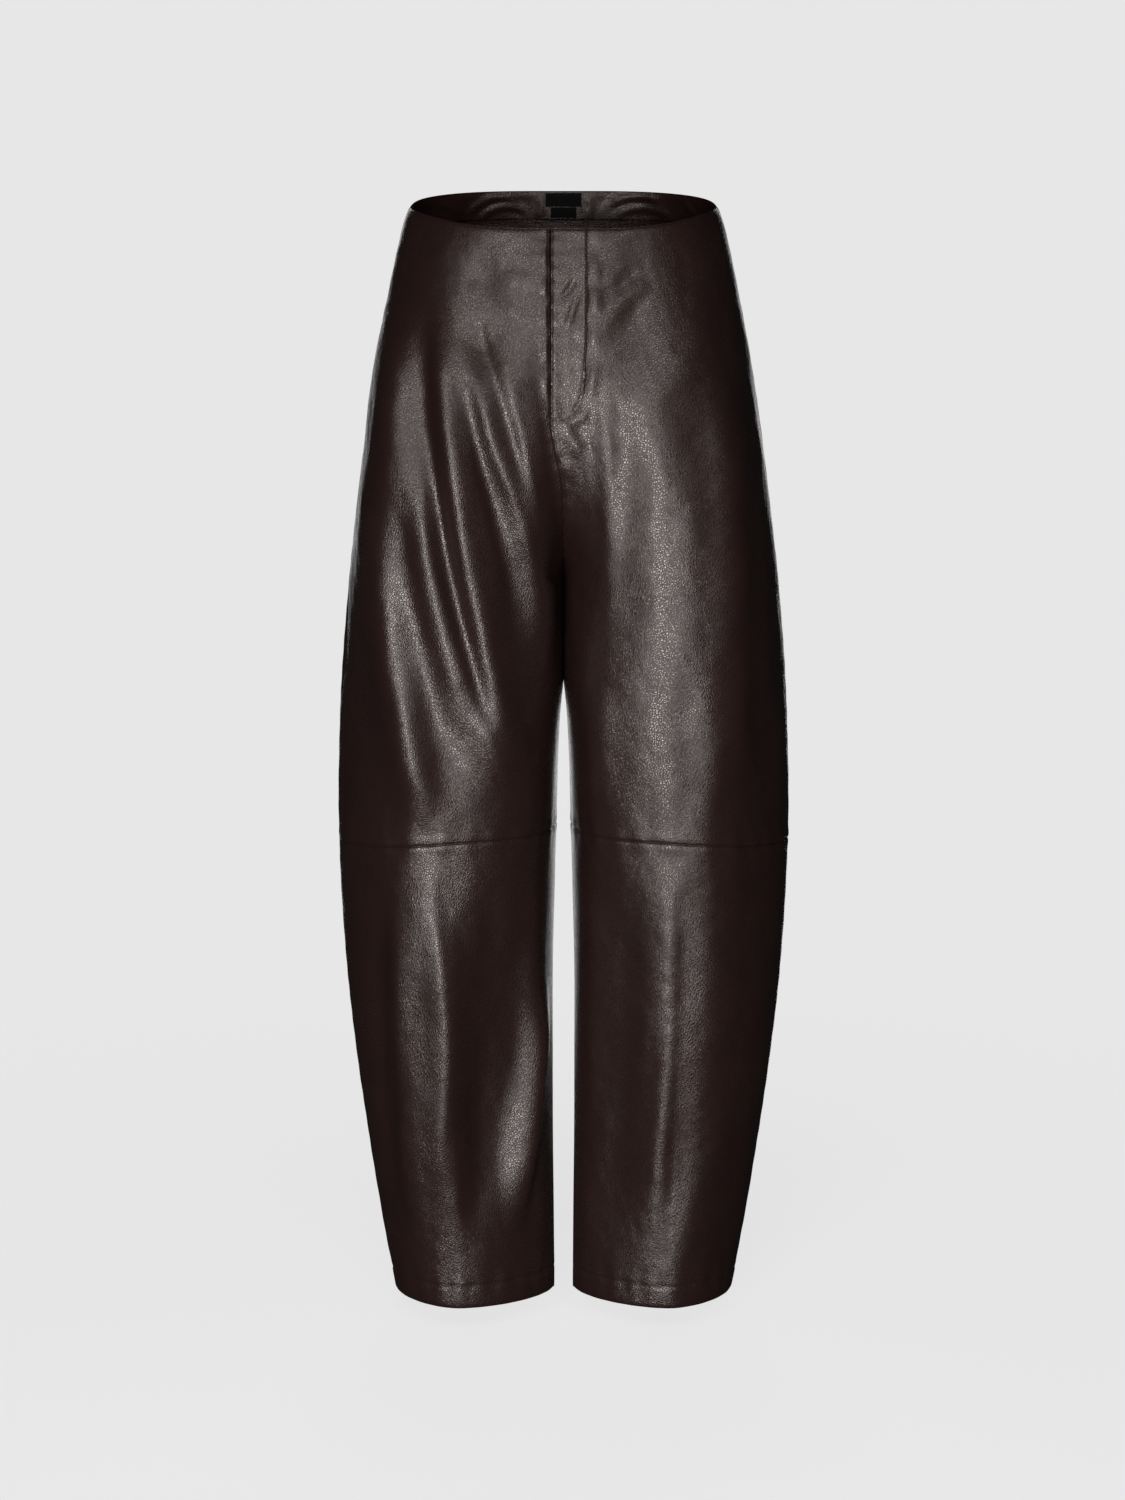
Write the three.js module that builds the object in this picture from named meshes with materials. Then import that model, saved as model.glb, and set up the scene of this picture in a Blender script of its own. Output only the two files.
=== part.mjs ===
// High-waisted leather trousers, filled out as if worn, with nobody in them.
// Four panels are cut and sewn: each front is cut in two at the knee, each back is whole. The waist has
// no band, only facings inside, and closes with a zip under a lap at the front. The hems are turned up.
//
// Millimetres. The waist lies round the origin, its side points at z = 0, and the hems hang at
// z = -LENGTH. x runs towards the wearer's left and the front faces -y.
import * as THREE from 'three';

const { lerp, clamp, smoothstep, degToRad } = THREE.MathUtils;

// Cloth
const LENGTH = 1040;            // side seam, waist to hem
const LEATHER = 1.4;            // wall of the shell
const FACING = 1.0;             // wall of the facings, the fly's lap and its shield
const SEAM_GAP = 0.3;           // between two pieces that are sewn together
const HEM_TURN = 22;            // depth of the turned-up hem, which doubles the wall
const FACING_DEPTH = 25;        // waist facing, from the rim down
const RIM_DIP = 18;             // how far the rim sinks at the centre front
const RIM_RISE = 16;            // how far the rim rises at the centre back
const RIM_FADE = -120;          // level where the panels no longer follow the rim

// Crotch, where the four panels meet, and the height over which the fly and the seat curve out of it.
// From the share flatFrom of that height upwards, the legs' two ovals turn into one flat front.
const CROTCH = { z: -342, y: 15, frontRise: 84, backRise: 140, curve: 0.7, flatFrom: 0.3 };

// Knee seam across the fronts
const KNEE = { inseam: -579, drop: 13 };

// Fly, measured along the front from the middle: the lap's folded edge, the stitched J and the slit.
// The zip and the shield bend back behind the lap between bendFrom and bendTo.
const FLY = { edge: -11, end: -186, centred: -258, stitch: 20, slit: 4.7, slitTop: -40,
  curveTop: 135, bottom: -182, lapIn: 0.5, footIn: 3 };
const SHIELD = { outer: -25, inner: 14, bottom: -184, bendFrom: -24, bendTo: -12 };
const ZIP = { outer: -24, inner: 5, top: -14, bottom: -178, tape: 0.5,
  chain: -5, chainHalf: 2.5, chainWall: 1.8, chainEdge: 0.2, bendFrom: -20, bendTo: -12.5 };
const SLIDER = { top: -26, bottom: -38, half: 4, wall: 1.5 };

// Size and care label places, bare, on the back facing
const LABELS = [
  { name: 'label', width: 34, top: -2, bottom: -14.5, depth: 0.5 },
  { name: 'size_label', width: 24, top: -15, bottom: -24, depth: 0.5 },
];

// The cloth's sections. One row is a level. side is half the width, gap half the space between the legs;
// front and back are how far the cloth reaches, frontCentre and backCentre its depth at the middle seam;
// frontPeak and backPeak are where across the body it reaches furthest. round shapes the outer corners
// and fold the inner ones: 2 is an ellipse, less is sharper.
const SECTION_COLUMNS = ['z', 'side', 'gap', 'front', 'frontCentre', 'frontPeak',
  'back', 'backCentre', 'backPeak', 'round', 'fold'];
const SECTIONS = [
  [0, 143.0, 0.0, 100.0, 100.0, 25, 100.0, 100.0, 40, 2.10, 2.00],
  [-12, 147.7, 0.0, 102.0, 102.0, 26, 103.0, 102.5, 46, 2.10, 2.00],
  [-30, 152.5, 0.0, 104.5, 104.5, 28, 107.0, 106.0, 54, 2.10, 2.00],
  [-60, 159.2, 0.0, 108.0, 108.0, 32, 112.0, 111.0, 63, 2.10, 2.00],
  [-120, 171.2, 0.0, 114.0, 113.0, 45, 128.0, 122.0, 76, 2.10, 2.00],
  [-180, 181.4, 0.0, 117.0, 113.0, 62, 139.0, 130.0, 88, 2.10, 2.00],
  [-240, 189.7, 0.0, 117.0, 108.0, 80, 141.0, 133.0, 95, 2.08, 2.00],
  [-300, 197.3, 0.2, 115.0, 104.0, 95, 135.0, 130.0, 100, 2.05, 2.00],
  [-345, 202.4, 0.4, 113.5, 102.0, 103, 128.0, 126.0, 104, 2.03, 1.95],
  [-400, 207.7, 0.8, 111.5, 100.0, 105, 118.5, 118.0, 106, 2.00, 1.90],
  [-480, 212.7, 2.9, 107.5, 100.0, 107, 108.0, 108.0, 108, 1.97, 1.85],
  [-560, 215.0, 6.2, 101.6, 100.0, 109, 98.5, 98.0, 110, 1.93, 1.80],
  [-640, 213.3, 8.2, 94.5, 94.0, 110, 92.0, 92.0, 111, 1.88, 1.74],
  [-720, 208.5, 10.1, 88.5, 88.0, 109, 86.5, 86.0, 110, 1.83, 1.66],
  [-800, 200.5, 10.2, 81.8, 81.0, 105, 80.8, 80.0, 106, 1.78, 1.58],
  [-880, 190.0, 10.1, 75.0, 75.0, 101, 75.0, 75.0, 102, 1.72, 1.50],
  [-960, 178.0, 9.3, 70.8, 70.0, 97, 71.0, 71.0, 98, 1.66, 1.42],
  [-1040, 164.5, 8.8, 67.0, 67.0, 94, 67.0, 67.0, 94, 1.60, 1.35],
].map((row) => Object.fromEntries(SECTION_COLUMNS.map((column, index) => [column, row[index]])));

// The largest folds. Each runs from its head to its foot, bowed sideways at the middle, with a trough
// along each flank. x and z are seen from the front, and through the body for the back.
const FOLD_COLUMNS = ['headX', 'headZ', 'footX', 'footZ', 'bow', 'width', 'height'];
const namedFold = (row) => Object.fromEntries(FOLD_COLUMNS.map((column, index) => [column, row[index]]));
const FRONT_FOLDS = [
  [-136, -60, -112, -590, -33, 15, 6.5],
  [-135, -190, -38, -560, -18, 14, 5.5],
  [-114, -80, -36, -540, -10, 13, 5.5],
  [-104, -90, -18, -400, 4, 13, 4.2],
  [-62, -100, -30, -300, 5, 11, 3.0],
  [-80, -66, -16, -70, 0, 9, 1.8],
  [-78, -72, -14, -102, 0, 8, 1.6],
  [-14, -760, -64, -985, -6, 14, 3.6],
  [-114, -640, -126, -960, 0, 20, 2.6],
  [-70, -620, -86, -760, 3, 14, 2.0],
  [47, -196, 46, -430, 2, 12, 4.0],
  [98, -210, 120, -585, 0, 26, 4.6],
  [34, -102, 98, -44, -4, 10, 2.6],
  [38, -148, 110, -92, -4, 10, 2.2],
  [20, -300, 76, -250, 3, 11, 2.2],
  [122, -600, 90, -1000, 4, 18, 2.4],
  [40, -640, 52, -860, -3, 15, 2.2],
].map(namedFold);
const BACK_FOLDS = [
  [-26, -318, -150, -352, 9, 11, 3.6],
  [-20, -356, -128, -410, 8, 11, 3.0],
  [24, -314, 152, -340, -9, 11, 3.6],
  [20, -350, 118, -396, -8, 11, 3.0],
  [-122, -400, -104, -560, 6, 15, 3.0],
  [116, -390, 100, -550, -6, 15, 3.0],
  [-40, -556, -172, -548, 7, 9, 2.6],
  [-36, -590, -158, -600, 7, 9, 2.8],
  [-48, -628, -150, -646, 6, 10, 2.2],
  [38, -550, 168, -556, -7, 9, 2.6],
  [34, -586, 166, -592, -7, 9, 2.8],
  [52, -624, 148, -640, -6, 10, 2.2],
  [-96, -680, -108, -960, 5, 17, 2.8],
  [98, -670, 104, -940, -5, 17, 2.8],
].map(namedFold);
const EDGE_CALM = 14;           // a fold dies out over this distance before a seam

// Grid of the panels. A facing shares the columns of the back panel in front of it.
const BACK_COLUMNS = 14;
const CUT_LIMIT = 0.995;        // most of a leg's oval that the middle seam may cut away
const CROTCH_BIAS = 1.25;       // rows gather towards the crotch
const SHORTEST_ROW = 5;

const FRONT = { facing: -1, reach: 'front', centre: 'frontCentre', peak: 'frontPeak',
  rise: CROTCH.frontRise, folds: FRONT_FOLDS };
const BACK = { facing: 1, reach: 'back', centre: 'backCentre', peak: 'backPeak',
  rise: CROTCH.backRise, folds: BACK_FOLDS };
const LEFT = 1;
const RIGHT = -1;

// One value of the section table at any level, on a smooth curve through the rows.
function at(column, z) {
  const last = SECTIONS.length - 2;
  const row = clamp(SECTIONS.findIndex((section) => section.z < z) - 1, 0, last);
  const lower = z <= -LENGTH ? last : row;
  const [before, start, end, after] = [-1, 0, 1, 2].map((step) =>
    SECTIONS[clamp(lower + step, 0, last + 1)]);
  const span = end.z - start.z;
  const t = clamp((z - start.z) / span, 0, 1);
  const slope = (a, b) => (b.z === a.z ? 0 : (b[column] - a[column]) / (b.z - a.z));
  const startSlope = slope(before, end) * span;
  const endSlope = slope(start, after) * span;
  const rise = end[column] - start[column];
  return start[column] + t * (startSlope + t * (3 * rise - 2 * startSlope - endSlope
    + t * (startSlope + endSlope - 2 * rise)));
}

// How far above the crotch a level is, 0 at or below it and 1 where the middle seam runs straight.
const aboveCrotch = (z, face) => clamp((z - CROTCH.z) / face.rise, 0, 1);

// Depth of the middle seam, or of the inseam below the crotch.
function seamDepth(z, face) {
  const height = aboveCrotch(z, face);
  const below = clamp((CROTCH.z - z) / (LENGTH + CROTCH.z), 0, 1);
  const start = CROTCH.y * (1 - below);
  return lerp(start, face.facing * at(face.centre, z), (1 - (1 - height) ** 2) ** CROTCH.curve);
}

// Half of one face's section as a polyline, from the middle seam or the inseam to the side seam. Above
// the crotch it is the leg's oval, cut off at the middle seam, and it turns into a flat front higher up.
const QUARTER_STEPS = 40;
const outlines = new Map();
function outline(z, face) {
  const key = `${face.reach} ${z.toFixed(4)}`;
  if (outlines.has(key)) return outlines.get(key);
  const inner = new THREE.Vector2(at('gap', z), seamDepth(z, face));
  const peak = new THREE.Vector2(at(face.peak, z), face.facing * at(face.reach, z));
  const side = at('side', z);
  const flat = smoothstep(aboveCrotch(z, face), CROTCH.flatFrom, 1);
  const power = 2 / at('fold', z);
  const root = seamDepth(Math.min(z, CROTCH.z), face);
  const cutAway = clamp((inner.y - root) / (peak.y - root), 0, CUT_LIMIT);
  const cut = Math.asin(cutAway ** (1 / power));
  const width = (peak.x - inner.x) / Math.cos(cut) ** power;
  const points = [];
  for (let step = 0; step <= QUARTER_STEPS; step += 1) {
    const t = step / QUARTER_STEPS;
    const angle = lerp(cut, Math.PI / 2, t);
    const roundX = peak.x - width * Math.max(Math.cos(angle), 0) ** power;
    const roundY = root + (peak.y - root) * Math.sin(angle) ** power;
    points.push(new THREE.Vector2(
      lerp(roundX, lerp(inner.x, peak.x, t), flat),
      lerp(roundY, lerp(inner.y, peak.y, smoothstep(t, 0, 1)), flat),
    ));
  }
  for (let step = 1; step <= QUARTER_STEPS; step += 1) {
    const angle = degToRad(90 * step / QUARTER_STEPS);
    const corner = 2 / at('round', z);
    points.push(new THREE.Vector2(
      peak.x + (side - peak.x) * Math.sin(angle) ** corner,
      peak.y * Math.max(Math.cos(angle), 0) ** corner,
    ));
  }
  const lengths = [0];
  for (let index = 1; index < points.length; index += 1) {
    lengths.push(lengths[index - 1] + points[index].distanceTo(points[index - 1]));
  }
  const result = { points, lengths, total: lengths.at(-1) };
  outlines.set(key, result);
  return result;
}

// A point of the cloth before its folds. along is the distance from the middle round the section, and
// its sign is the wearer's side. Near the waist the levels follow the dipped rim.
function plainPoint(face, z, along) {
  const { points, lengths, total } = outline(z, face);
  const distance = clamp(Math.abs(along), 0, total);
  const index = clamp(lengths.findIndex((length) => length > distance), 1, points.length - 1);
  const share = (distance - lengths[index - 1]) / (lengths[index] - lengths[index - 1]);
  const spot = points[index - 1].clone().lerp(points[index], clamp(share, 0, 1));
  const depth = Math.abs(spot.y) / 100;
  const rim = face === FRONT ? -RIM_DIP * depth ** 2 : RIM_RISE * depth ** 0.75;
  const follow = 1 - smoothstep(-z, 0, -RIM_FADE);
  return new THREE.Vector3(along < 0 ? -spot.x : spot.x, spot.y, z + rim * follow);
}

// Outward direction of the plain cloth within its level, from its neighbours inside the same piece.
const PROBE = 0.8;
function outward(face, z, along, low, high) {
  const before = plainPoint(face, z, Math.max(along - PROBE, low));
  const after = plainPoint(face, z, Math.min(along + PROBE, high));
  const across = after.sub(before);
  return new THREE.Vector3(-across.y, across.x, 0).multiplyScalar(face.facing).normalize();
}

// Height of all the folds of a face at one place. A fold is a crest with a trough along each flank.
function foldHeight(face, x, z) {
  return face.folds.reduce((sum, fold) => {
    const chord = new THREE.Vector2(fold.footX - fold.headX, fold.footZ - fold.headZ);
    const from = new THREE.Vector2(x - fold.headX, z - fold.headZ);
    const t = from.dot(chord) / chord.lengthSq();
    if (t <= 0 || t >= 1) return sum;
    const offset = chord.cross(from) / chord.length() - fold.bow * 4 * t * (1 - t);
    const spread = (offset / fold.width) ** 2;
    const taper = Math.sin(Math.PI * t) ** 0.7;
    return sum + fold.height * taper * (1 - spread) * Math.exp(-spread);
  }, 0);
}

// A closed wall over a grid. place(u, v) gives the outer and the inner point at one spot of the piece.
function wall(name, material, columns, rows, place) {
  const outer = [];
  const inner = [];
  for (let row = 0; row <= rows; row += 1) {
    for (let column = 0; column <= columns; column += 1) {
      const spot = place(column / columns, row);
      outer.push(...spot.outer.toArray());
      inner.push(...spot.inner.toArray());
    }
  }
  const count = (rows + 1) * (columns + 1);
  const index = [];
  const quad = (a, b, c, d) => index.push(a, b, c, a, c, d);
  for (let row = 0; row < rows; row += 1) {
    for (let column = 0; column < columns; column += 1) {
      const here = row * (columns + 1) + column;
      const under = here + columns + 1;
      quad(here, under, under + 1, here + 1);
      quad(count + here, count + here + 1, count + under + 1, count + under);
    }
  }
  const edge = (a, b) => quad(a, b, count + b, count + a);
  for (let column = 0; column < columns; column += 1) {
    edge(column, column + 1);
    edge(rows * (columns + 1) + column + 1, rows * (columns + 1) + column);
  }
  for (let row = 0; row < rows; row += 1) {
    const here = row * (columns + 1);
    edge(here + columns + 1, here);
    edge(here + columns, here + 2 * columns + 1);
  }
  const geometry = new THREE.BufferGeometry();
  geometry.setAttribute('position', new THREE.Float32BufferAttribute([...outer, ...inner], 3));
  geometry.setIndex(volume(outer.concat(inner), index) < 0 ? index.reverse() : index);
  geometry.computeVertexNormals();
  const mesh = new THREE.Mesh(geometry, material);
  mesh.name = name;
  return mesh;
}

// Six times the signed volume inside a closed mesh, above zero when its faces point out.
function volume(positions, index) {
  const corner = (number) => new THREE.Vector3().fromArray(positions, 3 * index[number]);
  let sum = 0;
  for (let start = 0; start < index.length; start += 3) {
    sum += corner(start).dot(corner(start + 1).cross(corner(start + 2)));
  }
  return sum;
}

// Direction into the cloth at a spot of a panel, kept in the seam's plane along its edges so that two
// sewn pieces stay parallel there.
function inwardAt(face, side, z, normal, edges) {
  const inward = normal.clone().negate();
  if (edges.inner && z < CROTCH.z - 1) inward.set(side, 0, 0);
  else if (edges.inner && z <= CROTCH.z + 1) inward.set(side, 0, 1);
  else if (edges.inner) {
    const lean = seamDepth(z + 1, face) - seamDepth(z - 1, face);
    inward.set(0, -face.facing * 2, face.facing * lean);
  }
  if (edges.side) inward.y = 0;
  if (edges.level) inward.z = 0;
  return inward.normalize();
}

// Levels of a panel's rows: two down the facing, even to the crotch curve, closer towards the crotch,
// and even again below it.
function levels(face, upperRows, crotchRows, legRows, end) {
  const list = [() => 0, () => -FACING_DEPTH / 2];
  const top = CROTCH.z + face.rise;
  for (let row = 0; row < upperRows; row += 1) {
    list.push(() => lerp(-FACING_DEPTH, top, row / upperRows));
  }
  for (let row = 0; row < crotchRows; row += 1) {
    list.push(() => CROTCH.z + face.rise * (1 - row / crotchRows) ** CROTCH_BIAS);
  }
  for (let row = 0; row <= legRows; row += 1) {
    list.push((u) => lerp(CROTCH.z, end(u), row / legRows));
  }
  return list;
}

const kneeLevel = (u) => KNEE.inseam - KNEE.drop * smoothstep(u, 0.4, 1);

// Where the front panels meet: the lap's edge beside the fly, drifting to the middle at the crotch.
const lapEdge = (z) => FLY.edge * (1 - smoothstep(-z, -FLY.end, -FLY.centred));
function slitWidth(z) {
  if (z < FLY.end) return 0;
  return FLY.slit * (1 - clamp((z - FLY.slitTop) / (FLY.end - FLY.slitTop), 0, 1) ** 2);
}
const frontInner = { [LEFT]: (z) => lapEdge(z), [RIGHT]: (z) => slitWidth(z) - lapEdge(z) };

// A spot of the shell with its folds, reach away from the middle on one side. Folds die out at seams,
// and the legs stay apart where they touch at the inner thigh.
function shellSpot(face, side, z, reach) {
  const low = (face === FRONT ? frontInner[side](z) : 0) + SEAM_GAP / 2;
  const high = outline(z, face).total - SEAM_GAP / 2;
  const ends = z > FLY.centred ? [-high, high] : [low, high];
  const bounds = side === LEFT ? ends : [-ends[1], -ends[0]];
  const plain = plainPoint(face, z, side * reach);
  const normal = outward(face, z, side * reach, ...bounds);
  const calm = [reach - low, high - reach, -z, z + LENGTH]
    .reduce((product, distance) => product * smoothstep(distance, 0, EDGE_CALM), 1);
  const outer = plain.clone().addScaledVector(normal, calm * foldHeight(face, plain.x, plain.z));
  if (z < FLY.centred) outer.x = side * Math.max(side * outer.x, SEAM_GAP / 2);
  return { outer, normal, low, high };
}

// A panel of the shell, or a part of one, from its inner seam to the side seam.
function panel(name, material, face, side, columns, list) {
  return wall(name, material, columns, list.length - 1, (u, row) => {
    const z = list[row](u);
    const { low, high } = shellSpot(face, side, z, 0);
    const { outer, normal } = shellSpot(face, side, z, lerp(low, high, u));
    const edges = { inner: u === 0, side: u === 1, level: row === 0 || row === list.length - 1 };
    const thickness = z < HEM_TURN - LENGTH ? 2 * LEATHER : LEATHER;
    const inward = inwardAt(face, side, z, normal, edges);
    return { outer, inner: outer.clone().addScaledVector(inward, thickness) };
  });
}

// A thin piece that lies inside the shell. stops are its distances from the middle at a level, heights
// its levels, near and far its depths below the shell's outer face.
function lining(name, material, face, heights, { stops, near, far }) {
  const columns = stops(heights[0]).length - 1;
  return wall(name, material, columns, heights.length - 1, (u, row) => {
    const z = heights[row];
    const along = stops(z)[Math.round(u * columns)];
    const side = along < (face === FRONT ? lapEdge(z) : 0) ? RIGHT : LEFT;
    const { outer, normal } = shellSpot(face, side, z, side * along);
    return {
      outer: outer.clone().addScaledVector(normal, -near(along, z)),
      inner: outer.clone().addScaledVector(normal, -far(along, z)),
    };
  });
}

// Evenly spaced values, both ends included.
const even = (from, to, steps) =>
  Array.from({ length: steps + 1 }, (_, step) => lerp(from, to, step / steps));

// Materials
const leather = new THREE.MeshStandardMaterial({ color: '#2e2422', roughness: 0.42, metalness: 0 });
const leatherInside = new THREE.MeshStandardMaterial({ color: '#2a2120', roughness: 0.6, metalness: 0 });
const tape = new THREE.MeshStandardMaterial({ color: '#171313', roughness: 0.8, metalness: 0 });
const metal = new THREE.MeshStandardMaterial({ color: '#2b2a2b', roughness: 0.35, metalness: 0.8 });
const satin = new THREE.MeshStandardMaterial({ color: '#141213', roughness: 0.35, metalness: 0 });

// Shell
const hemTop = HEM_TURN - LENGTH;
const hemLevels = [() => hemTop - 1, () => -LENGTH];
const shinLevels = even(0, 1, 11)
  .map((share) => (u) => lerp(kneeLevel(u) - SEAM_GAP, hemTop, share))
  .concat(hemLevels);
const frontLevels = levels(FRONT, 10, 6, 10, kneeLevel);
const backLevels = levels(BACK, 7, 8, 19, () => hemTop).concat(hemLevels);
const shell = new THREE.Group();
shell.add(
  panel('front_right_upper', leather, FRONT, RIGHT, 28, frontLevels),
  panel('front_left_upper', leather, FRONT, LEFT, 22, frontLevels),
  panel('front_right_lower', leather, FRONT, RIGHT, 16, shinLevels),
  panel('front_left_lower', leather, FRONT, LEFT, 14, shinLevels),
  panel('back_right', leather, BACK, RIGHT, BACK_COLUMNS, backLevels),
  panel('back_left', leather, BACK, LEFT, BACK_COLUMNS, backLevels),
);

// Facings round the inside of the waist
const behindShell = LEATHER + SEAM_GAP;
const facingHeights = [-1, -FACING_DEPTH / 2, -FACING_DEPTH];
const flyHeights = (bottom) => {
  const between = even(-FACING_DEPTH, FLY.centred, 10)
    .filter((z) => z < -FACING_DEPTH && z > bottom + SHORTEST_ROW);
  return [...facingHeights, ...between, bottom];
};
const sideEnd = (z, face) => outline(z, face).total - 2 * LEATHER - SEAM_GAP;
function facing(name, face, stops) {
  return lining(name, leatherInside, face, facingHeights, {
    stops, near: () => behindShell, far: () => behindShell + FACING,
  });
}
const facings = new THREE.Group();
facings.add(
  facing('facing_back', BACK, (z) => even(-sideEnd(z, BACK), sideEnd(z, BACK), 2 * BACK_COLUMNS)),
  facing('facing_front_right', FRONT, (z) => even(-sideEnd(z, FRONT), SHIELD.outer - SEAM_GAP, 18)),
  facing('facing_front_left', FRONT, (z) => even(FLY.stitch + SEAM_GAP, sideEnd(z, FRONT), 18)),
);

// Fly: the lap's own facing ends on the stitched J, the zip lies behind it with its slider at the top,
// and the shield lies behind both. Zip and shield start against the right front and pass behind the lap.
const curveOfJ = (z) => Math.sqrt(1 - smoothstep(-z, FLY.curveTop, -FLY.bottom) ** 2);
const lapEnd = (z) => lerp(FLY.edge + FLY.footIn, FLY.stitch, curveOfJ(z));
const behindLap = (along, piece) => smoothstep(along, piece.bendFrom, piece.bendTo);
const zipNear = (along) => behindShell + behindLap(along, ZIP) * (FACING + SEAM_GAP);
const zipFar = (along) => zipNear(along)
  + (Math.abs(along - ZIP.chain) <= ZIP.chainHalf ? ZIP.chainWall : ZIP.tape);
const chainStart = ZIP.chain - ZIP.chainHalf;
const chainEnd = ZIP.chain + ZIP.chainHalf;
const zipStops = [...even(ZIP.outer, FLY.edge, 4), chainStart - ZIP.chainEdge,
  chainStart, ZIP.chain, chainEnd, chainEnd + ZIP.chainEdge, ZIP.inner];
const zipHeights = [ZIP.top, ...flyHeights(ZIP.bottom).filter((z) => z < ZIP.top)];
const behindChain = () => zipNear(0) + ZIP.chainWall + SEAM_GAP;
const behindSlider = () => behindChain() + SLIDER.wall;
const shieldNear = (along) =>
  lerp(behindShell + ZIP.tape, behindSlider(), behindLap(along, SHIELD)) + SEAM_GAP;
const fly = new THREE.Group();
fly.add(
  lining('fly_lap', leatherInside, FRONT, flyHeights(FLY.bottom), {
    stops: (z) => even(FLY.edge + FLY.lapIn, lapEnd(z), 3),
    near: () => behindShell,
    far: () => behindShell + FACING,
  }),
  lining('zip', tape, FRONT, zipHeights, { stops: () => zipStops, near: zipNear, far: zipFar }),
  lining('zip_slider', metal, FRONT, [SLIDER.top, SLIDER.bottom], {
    stops: () => even(ZIP.chain - SLIDER.half, ZIP.chain + SLIDER.half, 2),
    near: behindChain,
    far: behindSlider,
  }),
  lining('fly_shield', leatherInside, FRONT, flyHeights(SHIELD.bottom), {
    stops: () => even(SHIELD.outer, SHIELD.inner, 10),
    near: shieldNear,
    far: (along) => shieldNear(along) + FACING,
  }),
);

// Labels
const onFacing = behindShell + FACING + SEAM_GAP;
const labels = new THREE.Group();
for (const { name, width, top, bottom, depth } of LABELS) {
  labels.add(lining(name, satin, BACK, [top, bottom], {
    stops: () => even(-width / 2, width / 2, 4),
    near: () => onFacing,
    far: () => onFacing + depth,
  }));
}

const trousers = new THREE.Group();
trousers.add(shell, facings, fly, labels);

export default trousers;
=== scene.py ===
# %% [markdown]
# # Leather trousers, filled out as if worn
#
# High-waisted barrel trousers in a dark, coated leather cloth. Each front is cut in two at the knee and each
# back is whole. There is no waistband: facings finish the waist from inside, and a fly with a stitched J
# closes the front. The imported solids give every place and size, and this script dresses them: each panel
# becomes a fine sheet on nearly the same form, with the creases that a wearer's movement leaves in leather.

# %% Tools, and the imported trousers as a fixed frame
import math

import bpy
import numpy as np
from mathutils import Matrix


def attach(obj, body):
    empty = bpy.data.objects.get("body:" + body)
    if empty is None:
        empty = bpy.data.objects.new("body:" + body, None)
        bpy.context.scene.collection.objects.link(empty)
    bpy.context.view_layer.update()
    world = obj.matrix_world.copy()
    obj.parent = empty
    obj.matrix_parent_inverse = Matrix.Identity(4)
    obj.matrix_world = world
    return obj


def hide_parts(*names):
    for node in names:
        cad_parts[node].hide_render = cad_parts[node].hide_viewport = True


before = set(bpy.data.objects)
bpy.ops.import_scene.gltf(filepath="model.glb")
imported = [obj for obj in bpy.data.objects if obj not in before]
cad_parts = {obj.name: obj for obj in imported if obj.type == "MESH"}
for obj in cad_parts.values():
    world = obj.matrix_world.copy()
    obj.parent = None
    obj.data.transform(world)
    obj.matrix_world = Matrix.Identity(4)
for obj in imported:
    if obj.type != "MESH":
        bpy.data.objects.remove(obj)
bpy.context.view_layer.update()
MM = 0.001

# %% [markdown]
# ## The camera
#
# The photograph was taken from about three metres, level with the waist and tilted down a little: the eye
# sees the inside of the back waist, and both hems as shallow curves. Row 208 of the photo's 1500 rows is the
# row that lies level with the eye, and the focal length in pixels gives the lens, since Blender's sensor
# width belongs to the picture's long side.

# %% Camera
PHOTO_HEIGHT = 1500
EYE_ROW = 208
FOCAL_PIXELS = 3200
STANDING_BACK = 3.0
OFF_CENTRE = -0.001
SENSOR = 36.0
tilt = math.atan((PHOTO_HEIGHT / 2 - EYE_ROW) / FOCAL_PIXELS)
bpy.ops.object.camera_add(location=(OFF_CENTRE, -STANDING_BACK, 0), rotation=(math.pi / 2 - tilt, 0, 0))
camera = bpy.context.object
camera.data.sensor_width = SENSOR
camera.data.lens = SENSOR * FOCAL_PIXELS / PHOTO_HEIGHT
bpy.context.scene.camera = camera
print("lens", round(camera.data.lens, 1), "mm, tilted", round(math.degrees(tilt), 2), "degrees down")

# %% [markdown]
# ## The form of the cloth
#
# The form comes from a table of level sections, in millimetres, as the solids' form does. Side is half the
# width, gap half the space between the legs, and the other columns say how far the cloth reaches to the front
# and back, at the middle seam and at its peak on each leg, and how square its corners are. In front, the
# peak's place and the corners follow the highlights in the photograph, with hints from a fit to its shading,
# so this table departs there from the solids' own. A smooth curve through the rows gives the values at any
# level, with no steps between them.

# %% Section table
LENGTH = 1040
LEATHER = 1.4
FACING = 1.0
SEAM_GAP = 0.3
HEM_TURN = 22
FACING_DEPTH = 25
RIM_DIP = 18
RIM_RISE = 16
RIM_FADE = -120
CROTCH_Z = -342
CROTCH_Y = 15
CROTCH_CURVE = 0.7
FLAT_FROM = 0.3
KNEE_INSEAM = -579
KNEE_DROP = 13

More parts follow.
